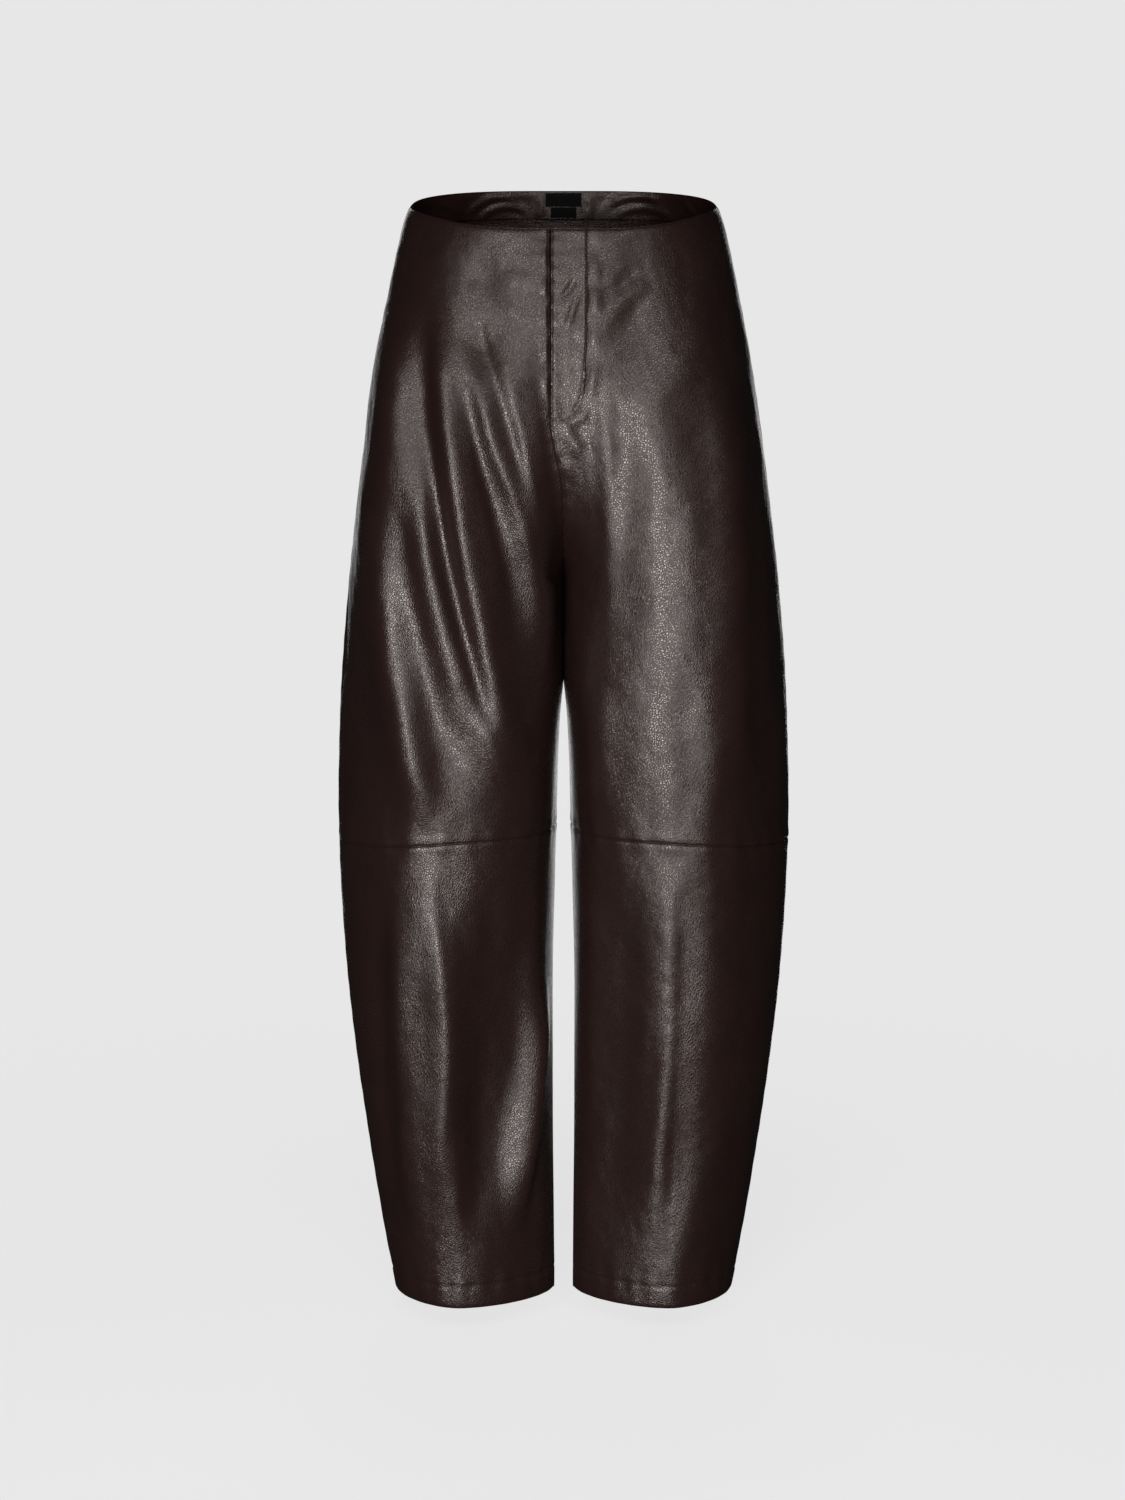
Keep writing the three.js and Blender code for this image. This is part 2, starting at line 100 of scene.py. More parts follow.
SECTION_COLUMNS = ("z", "side", "gap", "front", "front_centre", "front_peak",
                   "back", "back_centre", "back_peak", "back_round", "front_round", "fold")
SECTIONS = np.array([
    [0, 143, 0, 100, 100, 40, 100, 100, 40, 2.1, 2.1, 2.0],
    [-12, 147.7, 0, 102, 102, 42, 103, 102.5, 46, 2.1, 2.1, 2.0],
    [-30, 152.5, 0, 104.5, 104.5, 46, 107, 106, 54, 2.1, 2.1, 2.0],
    [-60, 159.2, 0, 108, 108, 52, 112, 111, 63, 2.1, 2.1, 2.0],
    [-120, 171.2, 0, 114, 113, 65, 128, 122, 76, 2.1, 2.15, 2.0],
    [-180, 181.4, 0, 117, 113, 80, 139, 130, 88, 2.1, 2.25, 2.0],
    [-240, 189.7, 0, 117, 108, 96, 141, 133, 95, 2.08, 2.3, 2.3],
    [-300, 197.3, 0, 115, 104, 110, 135, 130, 100, 2.05, 2.15, 2.6],
    [-345, 202.4, -0.8, 113.5, 102, 117, 128, 126, 104, 2.03, 2.05, 2.8],
    [-400, 207.7, -1.2, 111.5, 100, 121, 118.5, 118, 106, 2.0, 1.85, 2.9],
    [-436, 210.4, -0.6, 109.8, 100, 123, 113.6, 113.4, 107, 1.99, 1.75, 2.9],
    [-480, 212.7, 3.4, 107.5, 100, 125, 108, 108, 108, 1.97, 1.65, 2.9],
    [-560, 215, 6.2, 101.6, 100, 127, 98.5, 98, 110, 1.93, 1.55, 2.5],
    [-640, 213.3, 8.2, 94.5, 94, 126, 92, 92, 111, 1.88, 1.6, 2.25],
    [-720, 208.5, 10.1, 88.5, 88, 123, 86.5, 86, 110, 1.83, 1.66, 2.05],
    [-800, 200.5, 10.2, 81.8, 81, 118, 80.8, 80, 106, 1.78, 1.7, 1.85],
    [-880, 190, 10.1, 75, 75, 112, 75, 75, 102, 1.72, 1.72, 1.75],
    [-960, 178, 9.3, 70.8, 70, 106, 71, 71, 98, 1.66, 1.7, 1.7],
    [-1040, 164.5, 8.8, 67, 67, 101, 67, 67, 94, 1.6, 1.66, 1.66],
])
section = {name: SECTIONS[:, number] for number, name in enumerate(SECTION_COLUMNS)}


def at(name, z):
    """One column of the table at any levels, on a smooth curve through the rows."""
    levels, values = section["z"], section[name]
    start = np.clip(np.searchsorted(-levels, -z, side="right") - 1, 0, len(levels) - 2)
    end = start + 1
    before = np.maximum(start - 1, 0)
    after = np.minimum(start + 2, len(levels) - 1)
    span = levels[end] - levels[start]
    t = np.clip((z - levels[start]) / span, 0, 1)
    slope_in = (values[end] - values[before]) / (levels[end] - levels[before]) * span
    slope_out = (values[after] - values[start]) / (levels[after] - levels[start]) * span
    rise = values[end] - values[start]
    cubic = slope_in + slope_out - 2 * rise
    square = 3 * rise - 2 * slope_in - slope_out
    return values[start] + t * (slope_in + t * (square + t * cubic))


def smooth(value, low, high):
    """0 below low, 1 above high and a soft step between."""
    t = np.clip((value - low) / (high - low), 0, 1)
    return t * t * (3 - 2 * t)


def mix(a, b, share):
    return a + (b - a) * share


print("half width at the knee", at("side", np.array([-579.0])).round(1), "mm")

# %% [markdown]
# ## Round the body at one level
#
# A front or a back is half a section: from the middle seam, or from the inseam below the crotch, round to
# the side seam. Above the crotch it is the leg's oval cut off where the middle seam runs, and it flattens
# towards the waist. Two running means take the corner off at the peak, where both parts meet. A place on a
# panel is then a level and a distance round from the middle, which is how a pattern cutter measures too.

# %% Outlines, points and directions
FRONT = {"facing": -1, "reach": "front", "centre": "front_centre", "peak": "front_peak",
         "round": "front_round"}
BACK = {"facing": 1, "reach": "back", "centre": "back_centre", "peak": "back_peak", "round": "back_round"}
CROTCH_RISE = 140
LEFT = 1
RIGHT = -1
QUARTER_STEPS = 72
CUT_LIMIT = 0.995
SOFTEN = 7
PROBE = 2.0


def above_crotch(z):
    return np.clip((z - CROTCH_Z) / CROTCH_RISE, 0, 1)


def seam_depth(z, face):
    """Depth of the middle seam, or of the inseam below the crotch."""
    height = above_crotch(z)
    below = np.clip((CROTCH_Z - z) / (LENGTH + CROTCH_Z), 0, 1)
    start = CROTCH_Y * (1 - below)
    return mix(start, face["facing"] * at(face["centre"], z), (1 - (1 - height) ** 2) ** CROTCH_CURVE)


def soften(values):
    """Runs of points averaged twice, so that no corner stays at the peak. Both ends keep their places."""
    start, end = values[:, :1], values[:, -1:]
    for _ in range(2):
        padded = np.concatenate([2 * start - values[:, SOFTEN:0:-1], values,
                                 2 * end - values[:, -2:-SOFTEN - 2:-1]], axis=1)
        sums = np.cumsum(np.concatenate([np.zeros((len(values), 1)), padded], axis=1), axis=1)
        values = (sums[:, 2 * SOFTEN + 1:] - sums[:, :-2 * SOFTEN - 1]) / (2 * SOFTEN + 1)
    return values


def outline(z, face):
    """Polylines of a face at many levels, and the distances along them from the middle."""
    z = z[:, None]
    inner_x, inner_y = at("gap", z), seam_depth(z, face)
    peak_x, peak_y = at(face["peak"], z), face["facing"] * at(face["reach"], z)
    power = 2 / at("fold", z)
    root = seam_depth(np.minimum(z, CROTCH_Z), face)
    cut = np.arcsin(np.clip((inner_y - root) / (peak_y - root), 0, CUT_LIMIT) ** (1 / power))
    width = (peak_x - inner_x) / np.cos(cut) ** power
    t = np.linspace(0, 1, QUARTER_STEPS + 1)[None, :]
    angle = mix(cut, math.pi / 2, t)
    round_x = peak_x - width * np.maximum(np.cos(angle), 0) ** power
    round_y = root + (peak_y - root) * np.sin(angle) ** power
    flat = smooth(above_crotch(z), FLAT_FROM, 1)
    inner = (mix(round_x, mix(inner_x, peak_x, t), flat),
             mix(round_y, mix(inner_y, peak_y, smooth(t, 0, 1)), flat))
    turn = math.pi / 2 * t[:, 1:]
    corner = 2 / at(face["round"], z)
    outer = (peak_x + (at("side", z) - peak_x) * np.sin(turn) ** corner,
             peak_y * np.maximum(np.cos(turn), 0) ** corner)
    x, y = (soften(np.concatenate(pair, axis=1)) for pair in zip(inner, outer))
    steps = np.hypot(np.diff(x, axis=1), np.diff(y, axis=1))
    lengths = np.concatenate([np.zeros((len(z), 1)), np.cumsum(steps, axis=1)], axis=1)
    return x, y, lengths


def plain_points(face, z, along, lines):
    """Points of the cloth before its folds. Near the waist the levels follow the dipped rim."""
    x, y, lengths = lines
    rows = np.arange(len(z))
    reach = np.clip(np.abs(along), 0, lengths[:, -1])
    after = np.clip((lengths <= reach[:, None]).sum(axis=1), 1, lengths.shape[1] - 1)
    start, end = lengths[rows, after - 1], lengths[rows, after]
    share = (reach - start) / (end - start)
    across = mix(x[rows, after - 1], x[rows, after], share)
    depth = mix(y[rows, after - 1], y[rows, after], share)
    far = np.abs(depth) / 100
    rim = -RIM_DIP * far ** 2 if face is FRONT else RIM_RISE * far ** 0.75
    follow = 1 - smooth(-z, 0, -RIM_FADE)
    return np.stack([np.where(np.signbit(along), -across, across), depth, z + rim * follow], axis=1)


def outward(face, z, along, low, high, lines):
    """Level directions straight out of the plain cloth."""
    before = plain_points(face, z, np.maximum(along - PROBE, low), lines)
    after = plain_points(face, z, np.minimum(along + PROBE, high), lines)
    across = after - before
    normal = np.stack([-across[:, 1], across[:, 0], np.zeros(len(z))], axis=1) * face["facing"]
    return normal / np.linalg.norm(normal, axis=1, keepdims=True)


waist = sum(2 * outline(np.array([0.0]), face)[2][0, -1] for face in (FRONT, BACK))
print("waist", round(waist), "mm round")

# %% [markdown]
# ## The fly's edges
#
# The left front laps over the right one. Its folded edge lies eleven millimetres to the wearer's right of
# the middle, and a slit stays open beside it that closes where the J of stitching ends. Below, both fronts
# drift back to the middle and run down to the crotch. Where two panels meet in the middle they overlap by a
# third of a millimetre, so that no light comes through.

# %% Where each front begins
LAP_EDGE = -11
FLY_END = -186
FLY_CENTRED = -258
SLIT = 1.9
SLIT_TOP = -40
J_REACH = 20
SEAM_OVERLAP = 0.3


def lap_edge(z):
    return LAP_EDGE * (1 - smooth(-z, -FLY_END, -FLY_CENTRED))


def slit_width(z):
    closing = np.clip((z - SLIT_TOP) / (FLY_END - SLIT_TOP), 0, 1) ** 2
    return np.where(z < FLY_END, 0, SLIT * (1 - closing))


def inner_edge(face, side, z):
    """Distance from the middle at which a panel begins."""
    overlap = SEAM_OVERLAP * ((z > CROTCH_Z) & (z < FLY_END))
    if face is BACK:
        return -overlap
    return (lap_edge(z) if side == LEFT else slit_width(z) - lap_edge(z)) - overlap


def knee_level(u):
    return KNEE_INSEAM - KNEE_DROP * smooth(u, 0.4, 1)


# %% [markdown]
# ## Folds and creases
#
# A fold is a line of a few points, in millimetres across and up, with a crest along it and a trough on each
# flank. A negative height makes it a valley. The flank towards the wearer's right, west in the picture, and
# the one towards the left, east, have their own widths, because leather bends over sharply on one side and
# falls away slowly on the other. Every fold swells from nothing at its head and dies away at its foot.

# %% Fold maker
PATH_STEPS = 10
TROUGH = 1.1
NARROWING = 1.1


def smooth_path(points):
    """A curve through the points, as a close polyline."""
    points = np.array(points, float)
    padded = np.vstack([2 * points[0] - points[1], points, 2 * points[-1] - points[-2]])
    curve = []
    for number in range(1, len(padded) - 2):
        before, start, end, after = padded[number - 1:number + 3]
        for t in np.arange(PATH_STEPS) / PATH_STEPS:
            curve.append(0.5 * (2 * start + (end - before) * t
                                + (2 * before - 5 * start + 4 * end - after) * t ** 2
                                + (3 * start - before - 3 * end + after) * t ** 3))
    return np.array(curve + [points[-1]])


def along_path(x, z, path, reach):
    """Which places lie near a line, how far off it, on its east side above zero, and how far along."""
    low, high = path.min(axis=0) - reach, path.max(axis=0) + reach
    near = (x > low[0]) & (x < high[0]) & (z > low[1]) & (z < high[1])
    if not near.any():
        return near, np.zeros(0), np.zeros(0)
    start, step = path[:-1], np.diff(path, axis=0)
    size = np.linalg.norm(step, axis=1)
    travelled = np.concatenate([[0], np.cumsum(size)])
    from_x = x[near][:, None] - start[None, :, 0]
    from_z = z[near][:, None] - start[None, :, 1]
    t = np.clip((from_x * step[:, 0] + from_z * step[:, 1]) / size ** 2, 0, 1)
    away = np.hypot(from_x - t * step[:, 0], from_z - t * step[:, 1])
    nearest = away.argmin(axis=1)
    rows = np.arange(len(nearest))
    cross = step[nearest, 0] * from_z[rows, nearest] - step[nearest, 1] * from_x[rows, nearest]
    share = (travelled[nearest] + t[rows, nearest] * size[nearest]) / travelled[-1]
    return near, np.copysign(away[rows, nearest], cross), np.clip(share, 0, 1)


def fold_height(x, z, fold):
    """How far one fold lifts the cloth at each place."""
    height, west, east, taper, path = fold
    near, off, share = along_path(x, z, path, 2.6 * max(west, east))
    lift = np.zeros(len(x))
    turn = 0.5 * min(west, east)
    spread = (off / mix(west, east, smooth(off, -turn, turn))) ** 2
    swell = smooth(share, 0, taper / 2) * smooth(1 - share, 0, taper / 2)
    lift[near] = height * swell * (1 - TROUGH * spread) * np.exp(-NARROWING * spread)
    return lift


# %% [markdown]
# ## The folds of the front
#
# The wearer's right leg, on the picture's left, carries long ridges with valleys between them. They fan out
# from under the waist and sweep down to the inside of the knee. The left leg is calmer: broad, low ridges
# down the thigh, a narrow one beside the fly, and drag lines from the fly towards the hip. Wide, soft ridges
# and hollows run down both shins. Most of the heights, widths and places in this table aren't chosen by
# hand: a separate program fitted them to the photograph's shading, and they were then rounded.

# %% Front folds: height, west flank, east flank, taper, points across and up
FRONT_FOLDS = [
    (11.0, 32, 24, 0.35, [(-143, -70), (-149, -141), (-156, -212), (-163, -285), (-165, -330),
        (-159, -394), (-153, -431), (-139, -505), (-124, -580)]),
    (-6.0, 20, 14, 0.35, [(-130, -69), (-128, -109), (-122, -184), (-114, -256), (-102, -330), (-88, -400),
        (-80, -436), (-70, -473), (-59, -507)]),
    (9.0, 26, 15, 0.7, [(-134, -155), (-132, -220), (-129, -256), (-125, -292), (-119, -326), (-103, -388),
        (-84, -451), (-58, -516), (-42, -542)]),
    (8.5, 25, 30, 0.3, [(-118, -89), (-111, -148), (-105, -208), (-99, -262), (-91, -314), (-81, -370),
        (-70, -426), (-58, -478), (-43, -534)]),
    (9.0, 17, 30, 0.5, [(-91, -104), (-73, -164), (-61, -210), (-46, -252), (-32, -302), (-22, -361),
        (-7, -435)]),
    (2.0, 30, 8, 0.6, [(-97, -148), (-91, -188), (-79, -249), (-63, -317), (-54, -391), (-47, -437)]),
    (-2.0, 25, 8, 0.5, [(-86, -86), (-74, -117), (-57, -174), (-42, -228), (-37, -252)]),
    (4.5, 14, 30, 0.55, [(-60, -103), (-51, -133), (-39, -181), (-29, -229), (-22, -280), (-21, -313)]),
    (1.5, 19, 10, 0.6, [(-32, -157), (-26, -192), (-21, -231), (-17, -271), (-15, -318)]),
    (-4.5, 32, 32, 0.6, [(-71, -26), (-71, -90), (-69, -160)]),
    (0.7, 10, 12, 0.8, [(-84, -57), (-81, -77), (-75, -92), (-68, -108)]),
    (0.6, 9, 9, 0.8, [(-62, -61), (-41, -62), (-17, -65)]),
    (0.6, 8, 8, 0.8, [(-71, -80), (-52, -87), (-34, -95), (-17, -101)]),
    (10.0, 18, 10, 0.6, [(-12, -700), (-16, -742), (-22, -778), (-28, -815), (-33, -853), (-37, -893),
        (-40, -932), (-44, -980)]),
    (-8.0, 30, 31, 0.6, [(-40, -632), (-48, -685), (-56, -732), (-62, -771), (-67, -820), (-71, -870),
        (-75, -920), (-80, -970)]),
    (5.0, 32, 15, 0.6, [(-128, -586), (-119, -682), (-114, -780), (-118, -880), (-122, -946)]),
    (9.0, 28, 20, 0.6, [(-107, -600), (-105, -800), (-103, -1000)]),
    (10.0, 20, 32, 0.6, [(-153, -600), (-149, -800), (-139, -1000)]),
    (5.0, 14, 30, 0.6, [(-25, -600), (-25, -800), (-25, -1000)]),
    (-2.5, 16, 21, 0.8, [(-61, -610), (-69, -690), (-81, -765)]),
    (1.7, 13, 13, 0.6, [(30, -141), (34, -170), (39, -197), (41, -264), (40, -344), (39, -400)]),
    (4.0, 27, 32, 0.6, [(113, -190), (117, -278), (121, -351), (127, -406), (134, -457), (140, -500),
        (143, -585)]),
    (3.5, 30, 30, 0.8, [(84, -110), (90, -340), (96, -580)]),
    (5.0, 25, 22, 0.6, [(146, -110), (156, -300), (164, -560)]),
    (3.0, 22, 21, 0.6, [(28, -420), (30, -500), (32, -570)]),
    (-2.5, 30, 21, 0.8, [(102, -4), (106, -60), (104, -110), (98, -165)]),
    (-4.5, 31, 32, 0.8, [(64, -2), (70, -100), (72, -180)]),
    (-0.6, 8, 8, 0.8, [(34, -79), (52, -68), (69, -49)]),
    (1.4, 10, 12, 0.8, [(36, -91), (58, -77), (79, -56)]),
    (0.6, 8, 8, 0.8, [(23, -110), (38, -100), (56, -87), (74, -72), (88, -53)]),
    (-0.6, 13, 11, 0.8, [(29, -124), (47, -113), (63, -98), (78, -80)]),
    (2.0, 12, 8, 0.8, [(-3, -186), (4, -199), (12, -212), (19, -229)]),
    (5.0, 19, 29, 0.7, [(94, -590), (106, -662), (109, -731), (104, -810), (96, -890), (90, -970)]),
    (1.4, 17, 18, 0.8, [(40, -640), (43, -740), (52, -862)]),
    (-7.5, 32, 32, 0.6, [(51, -600), (49, -800), (45, -1000)]),
    (-5.5, 17, 27, 0.6, [(114, -600), (110, -800), (100, -1000)]),
    (-1.1, 4, 5, 0.7, [(13, -60), (6, -69), (-3, -82)]),
    (1.1, 5, 5, 0.7, [(14, -70), (9, -88), (1, -112)]),
    (1.8, 7, 10, 0.8, [(-4, -218), (4, -234), (8, -252)]),
]

# %% [markdown]
# ## The folds of the back
#
# The photograph doesn't show the back, so it gets what such trousers have: pulls that run out from the
# crotch under the seat, a stack of short creases behind each knee, where the wearer bends it, and one long
# soft fold down each calf.

# %% Back folds, seen through the body from the front
BACK_FOLDS = [
    (3.6, 9, 12, 0.7, [(-24, -316), (-80, -345), (-150, -352)]),
    (3.0, 9, 12, 0.7, [(-20, -354), (-70, -392), (-130, -412)]),
    (3.6, 12, 9, 0.7, [(24, -312), (84, -336), (154, -338)]),
    (3.0, 12, 9, 0.7, [(20, -348), (66, -382), (120, -398)]),
    (3.0, 14, 16, 0.8, [(-124, -400), (-118, -480), (-103, -566)]),
    (3.0, 16, 14, 0.8, [(117, -390), (112, -470), (99, -556)]),
    (2.8, 8, 11, 0.7, [(-38, -552), (-104, -567), (-174, -548)]),
    (3.0, 8, 11, 0.7, [(-34, -588), (-96, -606), (-160, -600)]),
    (2.4, 9, 12, 0.7, [(-48, -628), (-98, -648), (-152, -646)]),
    (2.8, 11, 8, 0.7, [(36, -546), (100, -564), (170, -556)]),
    (3.0, 11, 8, 0.7, [(34, -584), (98, -600), (168, -592)]),
    (2.4, 12, 9, 0.7, [(52, -622), (100, -644), (150, -640)]),
    (2.8, 17, 17, 0.8, [(-96, -680), (-105, -820), (-108, -965)]),
    (2.8, 17, 17, 0.8, [(98, -670), (107, -810), (104, -945)]),
]
for face, folds in ((FRONT, FRONT_FOLDS), (BACK, BACK_FOLDS)):
    face["folds"] = [(*shape, smooth_path(points)) for *shape, points in folds]
print(len(FRONT_FOLDS), "folds in front and", len(BACK_FOLDS), "behind")

# %% [markdown]
# ## Unevenness and seams
#
# Coated cloth never lies quite smooth: a slow waviness runs through it, which is what breaks up the long
# highlights of leather. It is a sum of sine waves in fixed, seeded directions. At a seam the cloth turns in,
# so each panel rolls down over its last two millimetres, and the pull of the thread leaves small puckers.

# %% Waviness, seam roll and puckers
rng = np.random.default_rng(7)
WAVES = [(0.42, 74.0, 10), (0.22, 33.0, 14), (0.10, 15.0, 18)]
wave_set = []
for amplitude, length, count in WAVES:
    directions = rng.normal(size=(count, 3)) * (1.0, 1.0, 0.6)
    directions /= np.linalg.norm(directions, axis=1, keepdims=True)
    turns = 2 * math.pi / (length * rng.uniform(0.75, 1.3, size=(count, 1)))
    wave_set.append((amplitude / math.sqrt(count), directions * turns, rng.uniform(0, 2 * math.pi, count)))


def waviness(points):
    total = np.zeros(len(points))
    for amplitude, turns, phases in wave_set:
        total += amplitude * np.sin(points @ turns.T + phases).sum(axis=1)
    return total


SEAM_DEPTH = 1.05
SEAM_ROLL = 1.7
FOLD_CALM = 12
CALM_AT_MIDDLE = 0.55
INSEAM_STARTS = 60


def seam_roll(distance):
    """How far the cloth turns in at this distance from a seam."""
    return SEAM_DEPTH * np.exp(-(distance / SEAM_ROLL) ** 2)


def pucker(distance, along, wave, depth, reach):
    """Small ripples that run out from a seam."""
    drift = np.sin(along / (wave * 2.3)) + 0.6 * np.sin(along / (wave * 0.83) + 1.3)
    return depth * np.exp(-distance / reach) * np.sin(2 * math.pi * along / wave + 1.4 * drift)


# %% [markdown]
# ## The cloth at any place
#
# One function joins these: the plain form, its folds, the waviness and the seams. Folds die out before a
# side seam or an inseam, where front and back have to meet, and run on over the knee seam and the middle.

# %% Shell points
def ends(face, side, z):
    """The outline at some levels, and how far from the middle a panel begins and ends there."""
    lines = outline(z, face)
    return lines, inner_edge(face, side, z), lines[2][:, -1]


def shell_points(face, side, z, reach, limits=None, seams=True):
    """Outer points of the shell, their directions, and how far each has rolled in at a seam."""
    lines, low, high = limits or ends(face, side, z)
    far_low = np.where(z > FLY_CENTRED, -high, low)
    bounds = (far_low, high) if side == LEFT else (-high, -far_low)
    plain = plain_points(face, z, side * reach, lines)
    normal = outward(face, z, side * reach, *bounds, lines)
    from_inner, from_side = reach - low, high - reach
    inseam = smooth(-z, -CROTCH_Z - INSEAM_STARTS, -CROTCH_Z)
    facing_out = smooth(np.abs(normal[:, 1]), 0.2, 0.75)
    touching = inseam * (1 - smooth(from_inner, 60, 90))
    calm = (mix(1, smooth(from_inner, 0, FOLD_CALM), np.maximum(inseam, CALM_AT_MIDDLE))
            * smooth(from_side, 0, FOLD_CALM) * smooth(-z, 0, FOLD_CALM) * smooth(z + LENGTH, 0, FOLD_CALM))
    lift = sum(fold_height(plain[:, 0], plain[:, 2], fold) for fold in face["folds"])
    height = calm * (lift + waviness(plain)) * mix(1, facing_out, touching)
    side_roll, inner_roll = np.zeros(len(z)), np.zeros(len(z))
    if seams:
        side_roll = seam_roll(from_side)
        inner_roll = seam_roll(from_inner) * mix(1, 0.15, inseam)
        upper = 1 - inseam
        height = height + pucker(from_side, z, 27, 0.16, 9) + upper * pucker(from_inner, z, 17, 0.4, 8)
    outer = plain + normal * height[:, None]
    turn_in = np.where(z[:, None] > CROTCH_Z, (0.0, face["facing"], 0.0), (-side, 0.0, 0.0))
    outer -= turn_in * inner_roll[:, None]
    outer[:, 0] -= np.sign(outer[:, 0]) * side_roll
    below = z < FLY_CENTRED
    outer[:, 0] = np.where(below, np.maximum(side * outer[:, 0], 0) * side, outer[:, 0])
    return outer, normal, np.maximum(side_roll, inner_roll)


# %% [markdown]
# ## A sheet of cloth
#
# A grid primitive has the right number of columns and rows and no shape yet. Its vertices are then put on
# the form, and Solidify gives the wall. The weight of a vertex group sets how thick the wall is at each
# place: thin where the edge rolls in, and double in the turned-up hem. The inside gets the second material,
# the woven backing that the coating lies on.

# %% Sheet maker
EDGE_STOPS = (0.35, 0.8, 1.4, 2.1, 3.1, 4.4)
WEIGHT_STEPS = 24


def stops(start, end, spacing, fine_start=True, fine_end=True):
    """Places from start to end, about spacing apart, with more of them next to an edge."""
    first = list(EDGE_STOPS) if fine_start else []
    last = list(EDGE_STOPS) if fine_end else []
    head = first[-1] if first else 0
    tail = last[-1] if last else 0
    span = abs(end - start)
    count = max(2, round((span - head - tail) / spacing))
    inside = list(np.linspace(head, span - tail, count + 1))
    places = sorted({0.0, span, *first, *inside, *(span - value for value in last)})
    return start + np.array(places) * np.sign(end - start)


def deselect():
    bpy.ops.object.select_all(action="DESELECT")


def activate(piece):
    deselect()
    piece.select_set(True)
    bpy.context.view_layer.objects.active = piece


def lay_sheet(name, points, pattern, thickness, weights=None):
    """A sheet from a grid of points in millimetres, rows by columns, that bends round to its real wall."""
    rows, columns = points.shape[:2]
    deselect()
    bpy.ops.mesh.primitive_grid_add(x_subdivisions=columns - 1, y_subdivisions=rows - 1, size=1)
    sheet = bpy.context.object
    sheet.name = sheet.data.name = name
    sheet.data.vertices.foreach_set("co", (points.reshape(-1) * MM))
    corner = np.zeros(len(sheet.data.loops), int)
    sheet.data.loops.foreach_get("vertex_index", corner)
    sheet.data.uv_layers[0].data.foreach_set("uv", (pattern.reshape(-1, 2)[corner] * MM).reshape(-1))
    wall = sheet.modifiers.new("wall", "SOLIDIFY")
    wall.thickness = thickness * MM
    wall.offset = -1
    wall.use_quality_normals = True
    wall.material_offset = 1
    if weights is not None:
        group = sheet.vertex_groups.new(name="wall")
        level = np.round(weights.reshape(-1) * WEIGHT_STEPS).astype(int)
        for step in range(WEIGHT_STEPS + 1):
            members = np.flatnonzero(level == step)
            if len(members):
                group.add(members.tolist(), step / WEIGHT_STEPS, "REPLACE")
        wall.vertex_group = group.name
    activate(sheet)
    bpy.ops.object.modifier_apply(modifier=wall.name)
    bpy.ops.object.shade_smooth_by_angle(angle=math.radians(50))
    return sheet


# %% [markdown]
# ## Dressing the shell
#
# Each panel is laid row by row. Its columns keep clear of each other at fixed places next to the edges, so
# that the rolled seams stay crisp, and are evenly spread between. The hem is stitched twenty-two millimetres
# up, which draws the cloth in along that line. The knee seam is a narrow groove with a full strip on both
# sides, and the right front puckers beside the slit.

# %% Panel maker
GRID = 2.6
ROWS_OVER = 590
HEM_LINE = HEM_TURN - LENGTH
HEM_GROOVE = 0.7
GROOVE_WIDTH = 1.6
KNEE_GROOVE = 1.1
KNEE_GROOVE_WIDTH = 1.0
KNEE_FULLNESS = 0.35
HEM_PUCKER = (21, 0.45, 14)
KNEE_PUCKER = (26, 0.5, 12)
SLIT_PUCKER = 0.8


def knee_roll(distance):
    """The knee seam: a rolled edge with a fuller strip beside it."""
    full = KNEE_FULLNESS * np.exp(-((distance - 5) / 4) ** 2)
    return KNEE_GROOVE * np.exp(-(distance / KNEE_GROOVE_WIDTH) ** 2) - full


def lay_panel(name, face, side, column_places, top, bottom, spacing):
    """Columns at their places, rows from top to bottom, and closer together next to each edge."""
    u = column_places / column_places[-1]
    shares = stops(0, 1000, spacing * 1000 / ROWS_OVER) / 1000
    levels = np.array([mix(top(u), bottom(u), share) for share in shares])
    points = np.zeros((*levels.shape, 3))
    weights = np.zeros(levels.shape)
    pattern = np.zeros((*levels.shape, 2))
    reversed_columns = (face is FRONT) != (side == LEFT)
    for number, z in enumerate(levels):
        limits = ends(face, side, z)
        reach = mix(limits[1], limits[2], u)
        outer, normal, roll = shell_points(face, side, z, reach, limits)
        extra = stitched_j(reach, z) if face is FRONT and side == LEFT else np.zeros(len(z))
        if face is FRONT and side == RIGHT:
            lip = reach - limits[1]
            extra += SLIT_PUCKER * np.exp(-((lip - 4) / 3) ** 2) * (1 + np.sin(z / 5.3)) * (z > FLY_END)
        hem_distance = np.abs(z - HEM_LINE)
        extra -= HEM_GROOVE * np.exp(-(hem_distance / GROOVE_WIDTH) ** 2)
        extra += pucker(hem_distance, reach * side, *HEM_PUCKER)
        edge_roll = seam_roll(z + LENGTH) + seam_roll(-z)
        if face is FRONT:
            knee = knee_level(u)
            from_knee = np.abs(z - knee)
            extra -= np.where(from_knee < 40, knee_roll(from_knee), 0)
            extra += pucker(from_knee, reach * side, *KNEE_PUCKER)
        outer += normal * (extra - edge_roll)[:, None]
        wall = np.where(z < HEM_LINE, 2 * LEATHER, LEATHER)
        points[number] = outer
        weights[number] = np.clip((wall - np.minimum(roll + edge_roll, SEAM_DEPTH)) / (2 * LEATHER), 0, 1)
        pattern[number] = np.stack([reach * side, z], axis=1)
    if reversed_columns:
        points, weights, pattern = points[:, ::-1], weights[:, ::-1], pattern[:, ::-1]
    order = slice(None, None, -1)
    return lay_sheet(name, points[order], pattern[order], 2 * LEATHER, weights[order])


